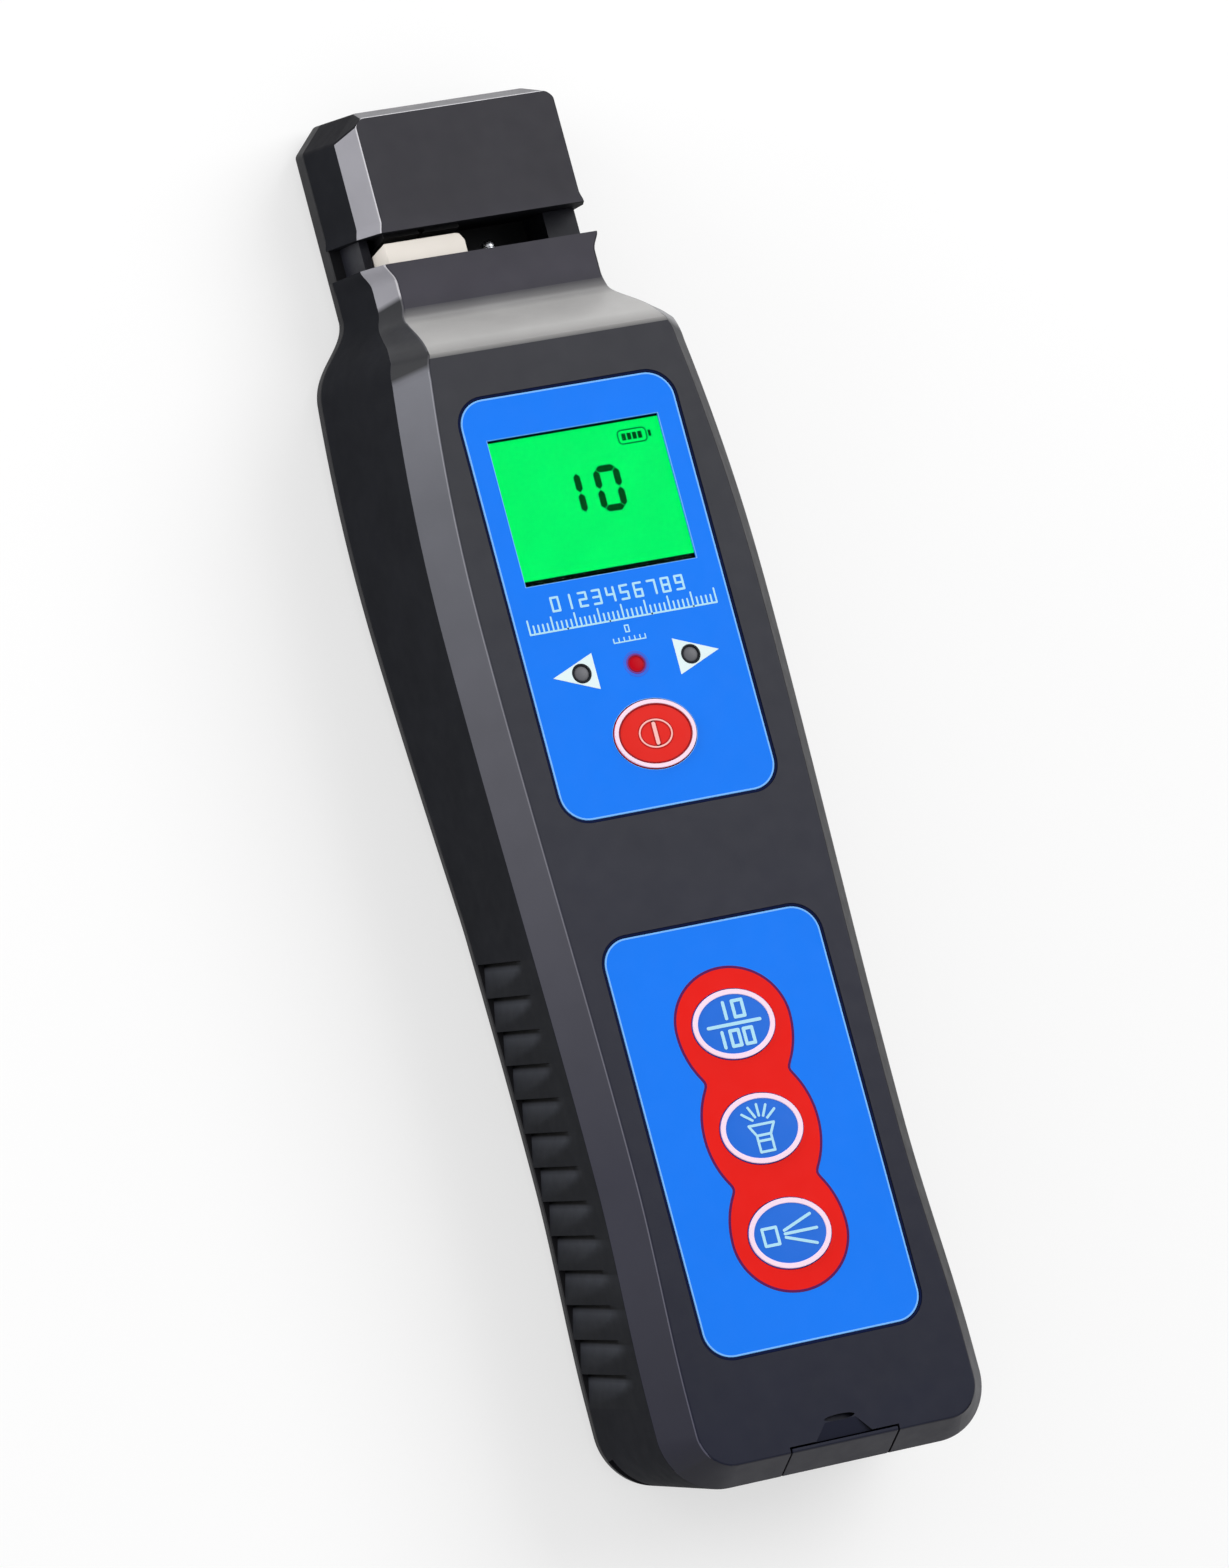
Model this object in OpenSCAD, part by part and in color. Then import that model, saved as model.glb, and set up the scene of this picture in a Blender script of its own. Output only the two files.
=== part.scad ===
// Optical fibre identifier: a hand-held tester that clamps a fibre in the slot of its head,
// with a display, four keys, a visible-light port under a flap and a torch lamp at its foot.
// It lies on its back. The origin is under the middle of the case, +Y runs towards the head,
// and +Z comes out of the front face.

/* [Case] */
// Overall length of the case
case_length = 207.6; // [205:0.2:212]
// Depth of the body from its back to its front face
body_depth = 32; // [31.5:0.1:33]
// Width at the chest, beside the display
chest_width = 49.4; // [49:0.1:52]
// Width at the waist, where the hand grips
waist_width = 47; // [46.6:0.1:49]
// Width near the foot
foot_width = 49; // [48.6:0.1:51]
// Width just below the shoulders
shoulder_width = 44.8; // [44.2:0.1:46]
// How far each side leans out towards the back, at the shoulders
shoulder_lean = 2.8; // [1.5:0.1:3.2]
// Width of the neck and of the head
neck_width = 34.4; // [34:0.1:35.4]
// How far each side of the neck and head leans out towards the back
neck_lean = 1.6; // [1:0.1:2]
// Depth of the neck and of the head
neck_depth = 20; // [19.8:0.1:21]
// Thickness of the rear cover
back_wall = 2.2; // [1.8:0.1:2.4]
// Thickness of the front cover behind its face
front_wall = 2.4; // [2.2:0.1:2.6]
// Thickness of the side walls at the waist
side_wall = 2; // [1.6:0.1:2.4]
// Height of the seam between the covers above the back
seam_height = 4; // [3.8:0.1:4.4]
// Height of the seam in the head
head_seam_height = 5; // [4.8:0.1:5.4]
// Width of the bevel along the sides of the front face
edge_width = 3.6; // [3:0.1:4]
// Width of the bevel along the foot end of the front face
foot_edge_width = 3.4; // [3:0.1:4.4]
// Depth of that bevel
edge_depth = 5.9; // [5:0.1:6.4]
// Width of the bevel on the neck and head
neck_edge_width = 1.9; // [1.5:0.1:2.2]
// Depth of the bevel on the neck and head
neck_edge_depth = 5.2; // [4.6:0.1:5.6]
// Width and depth of the bevel round the back
back_edge = 2.6; // [2:0.1:2.8]
// Radius of the corners at the foot
foot_radius = 8.5; // [7.5:0.1:10]
// Lean of the end faces, shoulders and ribs towards the head, per unit of depth
rake_share = 0.22; // [0.18:0.01:0.24]

/* [Shoulder] */
// Length of the neck, from the front face's upper edge to the slot
neck_length = 17.05; // [16.4:0.05:17.6]
// Length of the sloping face between the front face and the neck
ramp_length = 8.6; // [8:0.1:9.4]
// How far the shoulder's wide end lies below the front face's upper edge
shoulder_drop = 3.7; // [3.2:0.1:4.6]
// Length over which the shoulder narrows to the neck
shoulder_length = 14.5; // [13:0.1:15]

/* [Head] */
// Length of the case from the slot's lower face to the end of the head
head_length = 26.95; // [26.2:0.05:27.4]
// Width of the fibre slot
slot_gap = 4.65; // [4.6:0.05:5]
// Size of the cut corners at the top of the head
head_cut = 4; // [3:0.1:4.4]
// Size to which they shrink at the head's front face
head_front_cut = 1; // [0.5:0.1:1.6]
// Width of the bevel along the top of the head
top_edge_width = 1.3; // [1:0.1:1.6]
// How far the neck's corners flare out beside the slot
lip_flare = 1.1; // [0.6:0.1:1.3]
// Height of the cheeks that join neck and head behind the slot
cheek_height = 13; // [12:0.1:13.2]
// Width of the fibre channel between the cheeks
channel_width = 27.2; // [27:0.1:27.6]

/* [Grip] */
// Number of ribs on each side
rib_count = 13; // [9:1:13]
// Distance from rib to rib
rib_pitch = 4.97; // [4.6:0.01:5.1]
// Depth of the ribs at the back
rib_depth = 1.1; // [0.6:0.1:1.3]
// Length left plain between the corner of the foot and the last rib
rib_margin = 4.2; // [3:0.1:5]

/* [Panels] */
// Width of both printed panels
panel_width = 32.6; // [32:0.1:33]
// Length of the display panel
upper_panel_length = 61.9; // [61:0.1:63]
// Distance of the display panel from the front face's upper edge
upper_panel_drop = 7.85; // [7:0.05:8.5]
// Distance of the key panel from the foot end
lower_panel_rise = 16.65; // [16:0.05:17.6]
// Corner radius of the panels
panel_corner = 4; // [3:0.1:5]
// Thickness of the panel film
film_thickness = 0.5; // [0.4:0.1:0.5]
// Depth of the recess that holds the film
film_recess = 0.6; // [0.6:0.05:0.7]
// Gap round the film in its recess
film_gap = 0.15; // [0.1:0.05:0.3]

/* [Keys] */
// Width of a key
key_width = 12.1; // [11.6:0.1:12.4]
// Length of a key
key_length = 9.8; // [9.4:0.1:10]
// Gap round a key
key_gap = 0.2; // [0.15:0.05:0.3]
// Travel of a key
key_travel = 0.4; // [0.3:0.05:0.4]
// How far a key stands above the front face
key_rise = 0.2; // [0.1:0.05:0.3]
// Distance from key to key in the key panel
key_pitch = 15.05; // [14.6:0.05:15.4]
// Distance of the power key from the lamps
power_key_drop = 10.3; // [9.8:0.05:10.6]

/* [Display] */
// Width of the display opening
window_width = 26; // [25:0.1:26.4]
// Length of the display opening
window_length = 21.6; // [21:0.1:22]
// Distance of the display opening from the panel's upper edge
window_drop = 6.1; // [5.6:0.05:6.6]
// Thickness of the clear pane
pane_thickness = 0.9; // [0.8:0.05:0.95]
// Distance of the lamps from the display opening
lamp_drop = 13.5; // [13:0.05:14]
// Distance from lamp to lamp
lamp_pitch = 8.3; // [8:0.05:8.6]
// Radius of a lamp
lamp_radius = 1.3; // [1.2:0.05:1.5]

/* [Board] */
// Width of the main board
board_width = 30.6; // [30:0.1:31]
// Distance of the main board from the foot end
board_rise = 25.4; // [25:0.1:28]
// Thickness of the main board
board_thickness = 1.6; // [1.2:0.1:1.6]

/* [Presser] */
// Travel of the thumb trigger
trigger_travel = 4.8; // [4:0.1:5]
// Travel of the presser, until the adapter meets the fibre
press_travel = 1; // [0.8:0.05:1]
// Width of the fibre adapter
adapter_width = 12.2; // [11.6:0.1:12.4]
// How far the adapter stands above the slot's lower face at rest
adapter_rise = 3.45; // [3.2:0.05:3.5]
// Radius of the guide rods
rod_radius = 1; // [0.8:0.05:1.1]
// Radial play of the carriage on its rods
rod_play = 0.05; // [0.02:0.01:0.08]

/* [Foot] */
// Radius of the ferrule bore of the visible-light port
ferrule_radius = 1.26; // [1.25:0.01:1.3]
// Length of the ferrule bore
ferrule_length = 11; // [10:0.5:12]
// Height of the port's axis above the middle between the flap's pin and the front bevel
port_lift = 0.15; // [0:0.05:0.4]
// Width of the port flap
flap_width = 16; // [15:0.1:16.6]
// Thickness of the port flap
flap_thickness = 1.5; // [1.3:0.1:1.7]
// Height of the flap's pin above the back
flap_pin_height = 7.6; // [7.4:0.1:8]
// Radius of the flap's pin
flap_pin_radius = 0.75; // [0.6:0.05:0.8]
// Radius of the torch lens
torch_radius = 2.6; // [2.4:0.1:2.8]
// Distance of the torch from the middle, across the foot
torch_place = 13.6; // [13.2:0.1:14]

/* [Power] */
// Radius of a battery cell
cell_radius = 5.25; // [5.1:0.05:5.25]
// Length of a battery cell without its button
cell_length = 43.5; // [42.5:0.1:43.5]
// Width of the battery door
door_width = 28; // [27.4:0.1:28.4]
// Length of the case that the battery door takes, from the foot end
door_length = 83.4; // [82.6:0.1:84]
// Thickness of the battery door
door_thickness = 1.9; // [1.7:0.1:1.9]

/* [Fasteners] */
// Radius of a case screw's head
screw_head_radius = 2.2; // [2:0.05:2.25]
// Radius of a case screw's shank
screw_radius = 1.2; // [1:0.05:1.2]
// Length of a case screw's shank
screw_length = 7; // [6:0.5:8]

/* [Hidden] */

// Overrun of every cut past the face that it opens
over = 0.5;
// Gap between parts that rest face to face in a moulding
seat_gap = 0.05;
// Slices of a full round
round_steps = 48;
// Stations in each corner of the foot
corner_steps = 7;
// Stations along each side between the grip and the shoulder
side_steps = 6;
// Stations across the shoulder
shoulder_steps = 8;

// Datums along the length
half_length = case_length / 2;
foot_y = -half_length - rake_share * edge_depth;
arc_y = foot_y + foot_radius;
slot_place = half_length - head_length;
ramp_place = slot_place - neck_length;
shoulder_place = ramp_place - shoulder_drop;
waist_rise = 44.7;
waist_y = foot_y + waist_rise;
chest_drop = 40.2;
chest_y = ramp_place - chest_drop;
lean_drop = 42;
lean_start_y = chest_y - lean_drop;
shoulder_end_y = shoulder_place + shoulder_length;
ramp_end_y = ramp_place + ramp_length;
slot_top_y = slot_place + slot_gap;
head_top_y = half_length - rake_share * (neck_depth - back_edge);
// Length of a rib's sharp face
rib_face = 0.35;
grip_length = rib_count * rib_pitch;
rib_low_y = arc_y + rib_margin;
rib_top_y = rib_low_y + grip_length;
foot_round_y = rib_low_y;
rake_fade_drop = 2.2;
rake_fade_low_y = ramp_place - rake_fade_drop;
rake_fade_end = 3.25;
rake_fade_high_y = slot_place - rake_fade_end;
lip_length = 3.2;

// Heights
front_inner_z = body_depth - front_wall;
film_floor_z = body_depth - film_recess;
film_top_z = film_floor_z + film_thickness;
edge_z = body_depth - edge_depth;
rib_top_share = 0.79;

// Places on the front face. The display panel hangs from the upper edge, the key panel rises from
// the foot end, and what they leave is shared out between them and beside the keys.
upper_panel_top_y = ramp_place - upper_panel_drop;
upper_panel_place = upper_panel_top_y - upper_panel_length / 2;
window_place = upper_panel_top_y - window_drop - window_length / 2;
lamp_place = window_place - window_length / 2 - lamp_drop;
power_key_place = lamp_place - power_key_drop;
panel_key_count = 3;
key_row_length = (panel_key_count - 1) * key_pitch + key_length;
lower_panel_low_y = -half_length + lower_panel_rise;
spare_length = upper_panel_top_y - upper_panel_length - lower_panel_low_y - key_row_length;
panel_gap_share = 0.46;
key_margin_share = 0.275;
lower_panel_length = key_row_length + (1 - panel_gap_share) * spare_length;
lower_panel_place = lower_panel_low_y + lower_panel_length / 2;
last_key_place = lower_panel_low_y + key_margin_share * spare_length + key_length / 2;

// Inner cavities
cavity_half = waist_width / 2 - side_wall - rib_depth;
upper_cavity_step = 1.7;
upper_cavity_half = cavity_half - upper_cavity_step;
neck_side_wall = 2.3;
neck_cavity_half = neck_width / 2 - neck_side_wall;
neck_cavity_z = neck_depth - front_wall;
shoulder_wall = 4.2;
cavity_top_y = ramp_place - shoulder_wall;
foot_wall = 11;
cavity_foot_y = foot_y + foot_wall;
port_wall = 8;
port_cavity_y = foot_y + port_wall;
upper_cavity_drop = 8;
upper_cavity_z = body_depth - upper_cavity_drop;
neck_wall = 2.2;
cavity_corner = 7;
head_side_wall = 3;
head_cavity_half = neck_width / 2 - head_side_wall;
head_top_wall = 1;
head_cavity_top_y = head_top_y - head_cut - head_top_wall;

function clamp_share(t) = max(0, min(1, t));
function smooth_share(t) = let (c = clamp_share(t)) c * c * (3 - 2 * c);
function mix(a, b, t) = a + (b - a) * t;

// Front height of the case at a station
function ramp_share(y) = let (t = (y - ramp_place) / ramp_length) smooth_share(0.12 + 0.88 * t);
function front_z(y) = y <= ramp_place ? body_depth
    : y >= ramp_end_y ? neck_depth
    : mix(body_depth, neck_depth, ramp_share(y));
function neck_share(y) = clamp_share((y - ramp_place) / ramp_length);
function bevel_depth(y) = mix(edge_depth, neck_edge_depth, neck_share(y));
function bevel_width(y) = mix(edge_width, neck_edge_width, neck_share(y));
function bevel_z(y) = front_z(y) - bevel_depth(y);

// Half of the outer width at a station, at the foot of the bevel
function side_x(y) =
    y >= shoulder_place ? mix(shoulder_width, neck_width,
        smooth_share((y - shoulder_place) / shoulder_length)) / 2
    : y >= chest_y ? chest_width / 2 - (chest_width - shoulder_width) / 2
        * pow((y - chest_y) / (shoulder_place - chest_y), 2)
    : y >= waist_y ? mix(waist_width, chest_width,
        smooth_share((y - waist_y) / (chest_y - waist_y))) / 2
    : mix(foot_width, waist_width, smooth_share((y - foot_round_y) / (waist_y - foot_round_y))) / 2;
function arc_x(y) = y >= arc_y ? side_x(y)
    : side_x(arc_y) - foot_radius + sqrt(max(0, pow(foot_radius, 2) - pow(arc_y - y, 2)));
function lip(y) = y > slot_place ? 0 : lip_flare * smooth_share((y - slot_place + lip_length) / lip_length);
function lean(y) = y >= shoulder_end_y ? neck_lean
    : y >= shoulder_place ? mix(shoulder_lean, neck_lean, (y - shoulder_place) / shoulder_length)
    : shoulder_lean * clamp_share((y - lean_start_y) / (shoulder_place - lean_start_y));

// A rib's cut: full just below its sharp upper edge, running out towards the next
function rib_cut(t) =
    t < 0 || t > rib_count * rib_pitch ? 0 : rib_depth * (1 - (t % rib_pitch) / rib_pitch);
function rib_at(y) = rib_cut(rib_top_y - y);
function depth_share(y, z) = clamp_share((bevel_z(y) - z) / (bevel_z(y) - back_edge));
function rib_share(y, z) = let (top = mix(seam_height, bevel_z(y), rib_top_share))
    clamp_share((top - z) / (top - seam_height));
function rake(y) = y >= slot_place ? 0
    : 1 - smooth_share((y - rake_fade_low_y) / (rake_fade_high_y - rake_fade_low_y));

// One corner of a case section. A station is [y, side normal, foot normal]. Only the front
// cover has ribs.
function case_point(s, z, inset, foot_inset, ribbed = 1) = [
    arc_x(s[0]) + lip(s[0]) + lean(s[0]) * depth_share(s[0], z)
        - ribbed * rib_at(s[0]) * rib_share(s[0], z) - inset * s[1],
    s[0] + foot_inset * s[2] + rake_share * rake(s[0]) * (body_depth - z),
    z];
function mirrored(points) = concat(points,
    [for (i = [len(points) - 1:-1:0]) [-points[i][0], points[i][1], points[i][2]]]);

// Stations from the foot up to the slot
corner_stations = [for (i = [0:corner_steps]) let (a = 90 - 90 * i / corner_steps)
    [arc_y - foot_radius * sin(a), cos(a), sin(a)]];
lower_stations = [[rib_low_y - rib_face, 1, 0]];
grip_stations = [for (i = [rib_count - 1:-1:0], k = [0, 1])
    [rib_top_y - i * rib_pitch - (k == 0 ? rib_face : -rib_face / 5), 1, 0]];
upper_stations = [for (i = [0:side_steps]) [mix(rib_top_y + rib_pitch, shoulder_place,
    i / side_steps), 1, 0]];
shoulder_stations = [for (i = [1:shoulder_steps])
    [mix(shoulder_place, shoulder_end_y, i / shoulder_steps), 1, 0]];
lip_stations = [for (i = [0:3]) [slot_place - lip_length * (1 - i / 3), 1, 0]];
case_stations = concat(corner_stations, lower_stations, grip_stations, upper_stations,
    shoulder_stations, lip_stations);

function front_section(s) = let (b = bevel_z(s[0]), m = mix(seam_height, b, rib_top_share)) mirrored([
    case_point(s, seam_height, 0, 0),
    case_point(s, m, 0, 0),
    case_point(s, b, 0, 0),
    case_point(s, front_z(s[0]), bevel_width(s[0]), foot_edge_width)]);
function rear_section(s, top) = mirrored([
    case_point(s, 0, back_edge, back_edge, 0),
    case_point(s, back_edge, 0, 0, 0),
    case_point(s, top, 0, 0, 0)]);

// Head: stations are [y, half width, side normal, top normal]
cut_share = 0.414;
head_half = neck_width / 2;
head_front_half = head_half - neck_edge_width;
head_front_top_y = head_top_y - top_edge_width;
// Each station of the head, with its corner on the front face
head_stations = [
    [slot_top_y, head_half + lip_flare / 3, 1, 0, [head_front_half + lip_flare / 3, slot_top_y]],
    [slot_top_y + lip_length / 3, head_half, 1, 0, [head_front_half, slot_top_y + lip_length / 3]],
    [head_top_y - head_cut, head_half, 1, cut_share, [head_front_half, head_front_top_y - head_front_cut]],
    [head_top_y, head_half - head_cut, cut_share, 1, [head_front_half - head_front_cut, head_front_top_y]]];
function head_rake(y) = clamp_share((y - slot_top_y) / (head_top_y - slot_top_y));
head_bevel_z = neck_depth - neck_edge_depth;
function head_lean(z) = neck_lean * clamp_share((head_bevel_z - z) / (head_bevel_z - back_edge));
function head_point(s, z, inset, top_inset) = [
    s[1] + head_lean(z) - inset * s[2],
    s[0] - top_inset * s[3] + rake_share * head_rake(s[0]) * (neck_depth - z),
    z];
function head_front_section(s) = mirrored([
    head_point(s, head_seam_height, 0, 0),
    head_point(s, head_bevel_z, 0, 0),
    [s[4][0], s[4][1], neck_depth]]);
function head_rear_section(s) = mirrored([
    head_point(s, 0, back_edge, back_edge),
    head_point(s, back_edge, 0, 0),
    head_point(s, head_seam_height, 0, 0)]);

// Closed skin over sections that each run up the right side and down the left
module skin(sections) {
    n = len(sections);
    m = len(sections[0]);
    half = m / 2;
    sides = [for (i = [0:n - 2], j = [0:m - 1])
        let (a = i * m + j, b = i * m + (j + 1) % m, c = b + m, d = a + m)
        each [[a, b, c], [a, c, d]]];
    low = [for (j = [0:half - 2]) each [[j, m - 2 - j, j + 1], [j, m - 1 - j, m - 2 - j]]];
    last = (n - 1) * m;
    high = [for (f = low) [last + f[0], last + f[2], last + f[1]]];
    polyhedron([for (s = sections) each s], concat(sides, low, high), convexity = 8);
}

function arc_points(x, y, r, from, to, steps) =
    [for (i = [0:steps]) let (a = mix(from, to, i / steps)) [x + r * cos(a), y + r * sin(a)]];
corner_arc_steps = 6;
function round_rect(w, l, r) = let (x = w / 2 - r, y = l / 2 - r) concat(
    arc_points(x, -y, r, -90, 0, corner_arc_steps), arc_points(x, y, r, 0, 90, corner_arc_steps),
    arc_points(-x, y, r, 90, 180, corner_arc_steps), arc_points(-x, -y, r, 180, 270, corner_arc_steps));
oval_steps = 36;
function oval(w, l) = [for (i = [0:oval_steps - 1]) let (a = 360 * i / oval_steps)
    [w / 2 * cos(a), l / 2 * sin(a)]];

// A block between two corners
module block(low, high) translate(low) cube(high - low);
// A round-cornered plate between two heights
module plate(w, l, r, y, z, top) translate([0, y, z]) linear_extrude(top - z) polygon(round_rect(w, l, r));
// An oval disc between two heights
module oval_disc(w, l, y, z, top) translate([0, y, z]) linear_extrude(top - z) polygon(oval(w, l));
// A round post along Z
module post(x, y, z, top, r) translate([x, y, z]) cylinder(h = top - z, r = r, $fn = round_steps);
// A round bar along Y
module bar(x, y, z, top_y, r) translate([x, y, z]) rotate([-90, 0, 0])
    cylinder(h = top_y - y, r = r, $fn = round_steps);
// A round bar along X
module cross_bar(half, y, z, r) translate([-half, y, z]) rotate([0, 90, 0])
    cylinder(h = 2 * half, r = r, $fn = round_steps);
// A profile in Y and Z, carried across the width
module across(w, profile) translate([-w / 2, 0, 0]) rotate([90, 0, 90]) linear_extrude(w) polygon(profile);

// A coil of round wire along Y, on the points of a helix with straight-cut ends
coil_steps = 8;
wire_sides = 6;
module coil(x, y, z, top_y, r, wire, turns) {
    rings = turns * coil_steps;
    rise = (top_y - y - 2 * wire) / rings;
    points = [for (i = [0:rings], k = [0:wire_sides - 1])
        let (a = 360 * i / coil_steps, b = 360 * k / wire_sides, d = r + wire * cos(b))
        [x + d * cos(a), y + wire + i * rise + wire * sin(b), z + d * sin(a)]];
    sides = [for (i = [0:rings - 1], k = [0:wire_sides - 1])
        let (a = i * wire_sides + k, b = i * wire_sides + (k + 1) % wire_sides)
        each [[a, a + wire_sides, b + wire_sides], [a, b + wire_sides, b]]];
    low = [for (k = [1:wire_sides - 2]) [0, k, k + 1]];
    last = rings * wire_sides;
    high = [for (k = [1:wire_sides - 2]) [last, last + k + 1, last + k]];
    polyhedron(points, concat(sides, low, high), convexity = 6);
    echo(coil_gap = rise * coil_steps - 2 * wire);
}

// Screws, bosses and inserts
boss_radius = 2.75;
rear_boss_radius = 3.15;
insert_radius = 1.9;
insert_length = 5;
screw_play = 0.05;
screw_head_play = 0.2;
screw_seat_z = 1.9;
screw_head_height = 1.6;
top_screw_x = 17;
top_screw_drop = 7.7;
top_screw_y = ramp_place - top_screw_drop;
foot_screw_x = 17.4;
foot_screw_rise = 21.5;
foot_screw_y = foot_y + foot_screw_rise;
head_screw_x = 11;
head_screw_drop = 5.4;
head_screw_y = head_top_y - head_screw_drop;
body_screw_places = [for (s = [-1, 1]) each [[s * top_screw_x, top_screw_y], [s * foot_screw_x,
    foot_screw_y]]];
head_screw_places = [for (s = [-1, 1]) [s * head_screw_x, head_screw_y]];

// Board and what stands on it
board_drop = 4.3;
board_top_z = front_inner_z - board_drop;
board_low_z = board_top_z - board_thickness;
board_margin = 10.2;
board_top_y = ramp_place - board_margin;
board_low_y = -half_length + board_rise;
board_length = board_top_y - board_low_y;
board_corner = 1.5;
board_hole_inset = 2.6;
board_hole_x = board_width / 2 - board_hole_inset;
board_hole_rise = 3;
board_hole_low_y = board_low_y + board_hole_rise;
board_hole_drop = 19.45;
board_hole_high_y = window_place - board_hole_drop;
board_hole_places = [for (s = [-1, 1], y = [board_hole_low_y, board_hole_high_y]) [s * board_hole_x, y]];
board_screw_radius = 1;
board_screw_head = 0.9;
board_screw_head_height = 1.2;
board_screw_reach = 2.4;
board_hole_play = 0.15;
board_post_radius = 2.2;
key_flange = 0.8;
key_flange_height = 0.9;
key_stem_height = 0.4;
key_places = [power_key_place, for (i = [panel_key_count - 1:-1:0]) last_key_place + i * key_pitch];
key_flange_top_z = front_inner_z - seat_gap;
key_stem_z = key_flange_top_z - key_flange_height - key_stem_height;
key_stem_radius = 2;
switch_top_z = key_stem_z - key_travel - seat_gap;
switch_width = 6;
switch_plunger_radius = 1.7;
switch_plunger_height = 0.6;
buzzer_radius = 4.5;
buzzer_height = 5;
buzzer_x = 7;
buzzer_drop = 15.85;
buzzer_y = power_key_place - buzzer_drop;
chip_width = 12;
chip_height = 1.4;
chip_drop = 17.45;
chip_y = window_place - chip_drop;
lamp_base = 0.4;
lamp_base_height = 1;
lamp_play = 0.1;

// Display
pane_margin = 2;
module_width = 31;
module_length = 28;
module_gap = 0.1;

// Presser. The carriage slides on two rods between a bracket and the wall under the slot.
carriage_height = 6;
carriage_gap = 0.4;
carriage_top_y = slot_place - neck_wall - press_travel - carriage_gap;
carriage_low_y = carriage_top_y - carriage_height;
rod_z = 12;
carriage_drop = 3.8;
carriage_low_z = rod_z - carriage_drop;
carriage_lift = 4.4;
carriage_top_z = rod_z + carriage_lift;
carriage_left_x = -13;
carriage_right_x = 7;
rod_places = [2.8, -10.4];
rod_length = 21.55;
rod_rise = 2.3;
rod_low_y = slot_place + rod_rise - rod_length;
bracket_thickness = 2.6;
bracket_floor = 0.6;
bracket_low_y = rod_low_y - bracket_floor;
bracket_low_z = 9.4;
adapter_left_x = -15.2;
adapter_low_z = 8.6;
adapter_top_z = 18.6;
adapter_seat = 0.25;
adapter_corner = 1.2;
adapter_screw_radius = 1.2;
adapter_screw_cover = 0.7;
stem_left_x = -8.6;
stem_right_x = -4.2;
stem_low_z = 9.6;
stem_top_z = 15.4;
stem_play = 0.3;
stem_rise = 0.2;
trigger_pad_width = 13.4;
trigger_pad_length = 11;
trigger_drop = 26.75;
trigger_low_y = slot_place - trigger_drop;
trigger_play = 0.3;
trigger_flange = 1.7;
trigger_overlap = 1;
trigger_cover = trigger_travel + trigger_overlap;
trigger_flange_height = 1.3;
trigger_recess = 0.25;
pad_ridge_count = 4;
pad_groove_radius = 0.55;
arm_half = 3;
arm_inset = 5.1;
arm_low_y = trigger_low_y + arm_inset;
arm_length = 7;
arm_thickness = 2;
arm_clearance = 0.4;
arm_foot_z = carriage_low_z - arm_clearance;
arm_top_z = 15;
push_spring_radius = 2.4;
push_spring_wire = 0.35;
push_spring_turns = 4;
push_spring_x = -3.6;
spring_pocket_depth = 3;
spring_pocket_play = 0.25;

// Head inside
cheek_inset = 0.5;
channel_left_x = -15.4;
spine_length = 4.2;
anvil_depth = 4.2;
anvil_left_x = -14.2;
anvil_right_x = -2.6;
anvil_low_z = 7.4;
anvil_top_z = 16.6;
anvil_groove = 0.8;
diode_radius = 1.9;
diode_length = 3;
diode_places = [-11, -5.6];
detector_low_z = 6.4;
detector_top_z = 16;
detector_thickness = 0.8;
detector_right_x = 12.8;
detector_low_y = slot_top_y + anvil_depth + diode_length / 2 + seat_gap;

// Flat ribbon from the head down to the main board, through a channel in the spine
ribbon_width = 3;
ribbon_thickness = 0.3;
ribbon_x = 9.6;
ribbon_z = 3.2;
ribbon_play = 0.2;
ribbon_inset = 4;
ribbon_drop_y = board_top_y - ribbon_inset;
ribbon_top_z = 9;
ribbon_top_y = detector_low_y + detector_thickness + seat_gap;

// Foot end. The end face leans, so its place depends on the height.
function foot_face_y(z) = foot_y + rake_share * (body_depth - z);
function foot_bevel_y(z) = foot_face_y(z) + max(0, back_edge - z);
flap_gap = 0.25;
flap_lip_reach = 0.6;
flap_lip_y = foot_y + foot_edge_width + flap_lip_reach;
flap_barrel_radius = 1.6;
flap_pin_y = foot_face_y(flap_pin_height) + flap_barrel_radius + flap_gap;
flap_ear_half = 5;
flap_ear_height = 2;
flap_pin_half = 9.6;
flap_pin_play = 0.04;
flap_floor_z = flap_pin_height - flap_barrel_radius - 2 * flap_gap;
nail_width = 4.6;
nail_length = 0.9;
nail_depth = 1;
nail_drop = 2.6;
nail_y = flap_lip_y + nail_drop;
port_recess = 0.9;
port_mouth_y = port_cavity_y - port_recess;
port_height = (flap_pin_height + edge_z) / 2 + port_lift;
sleeve_wall = 1.14;
sleeve_radius = ferrule_radius + sleeve_wall;
sleeve_flange = 1.4;
sleeve_top_y = port_mouth_y + ferrule_length;
foot_cavity_z = port_height - sleeve_radius - sleeve_flange - seat_gap;
barrel_radius = 3.9;
barrel_length = 15;
beam_radius = 1;
beam_length = 3;
torch_z = 16.5;
lens_recess = 0.35;
lens_flange = 0.5;
lens_flange_height = 1.1;
lens_face_y = foot_face_y(torch_z) + lens_recess;
lens_top_y = port_cavity_y + lens_flange_height;
torch_lamp_radius = 2.1;
torch_lamp_length = 8;

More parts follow.
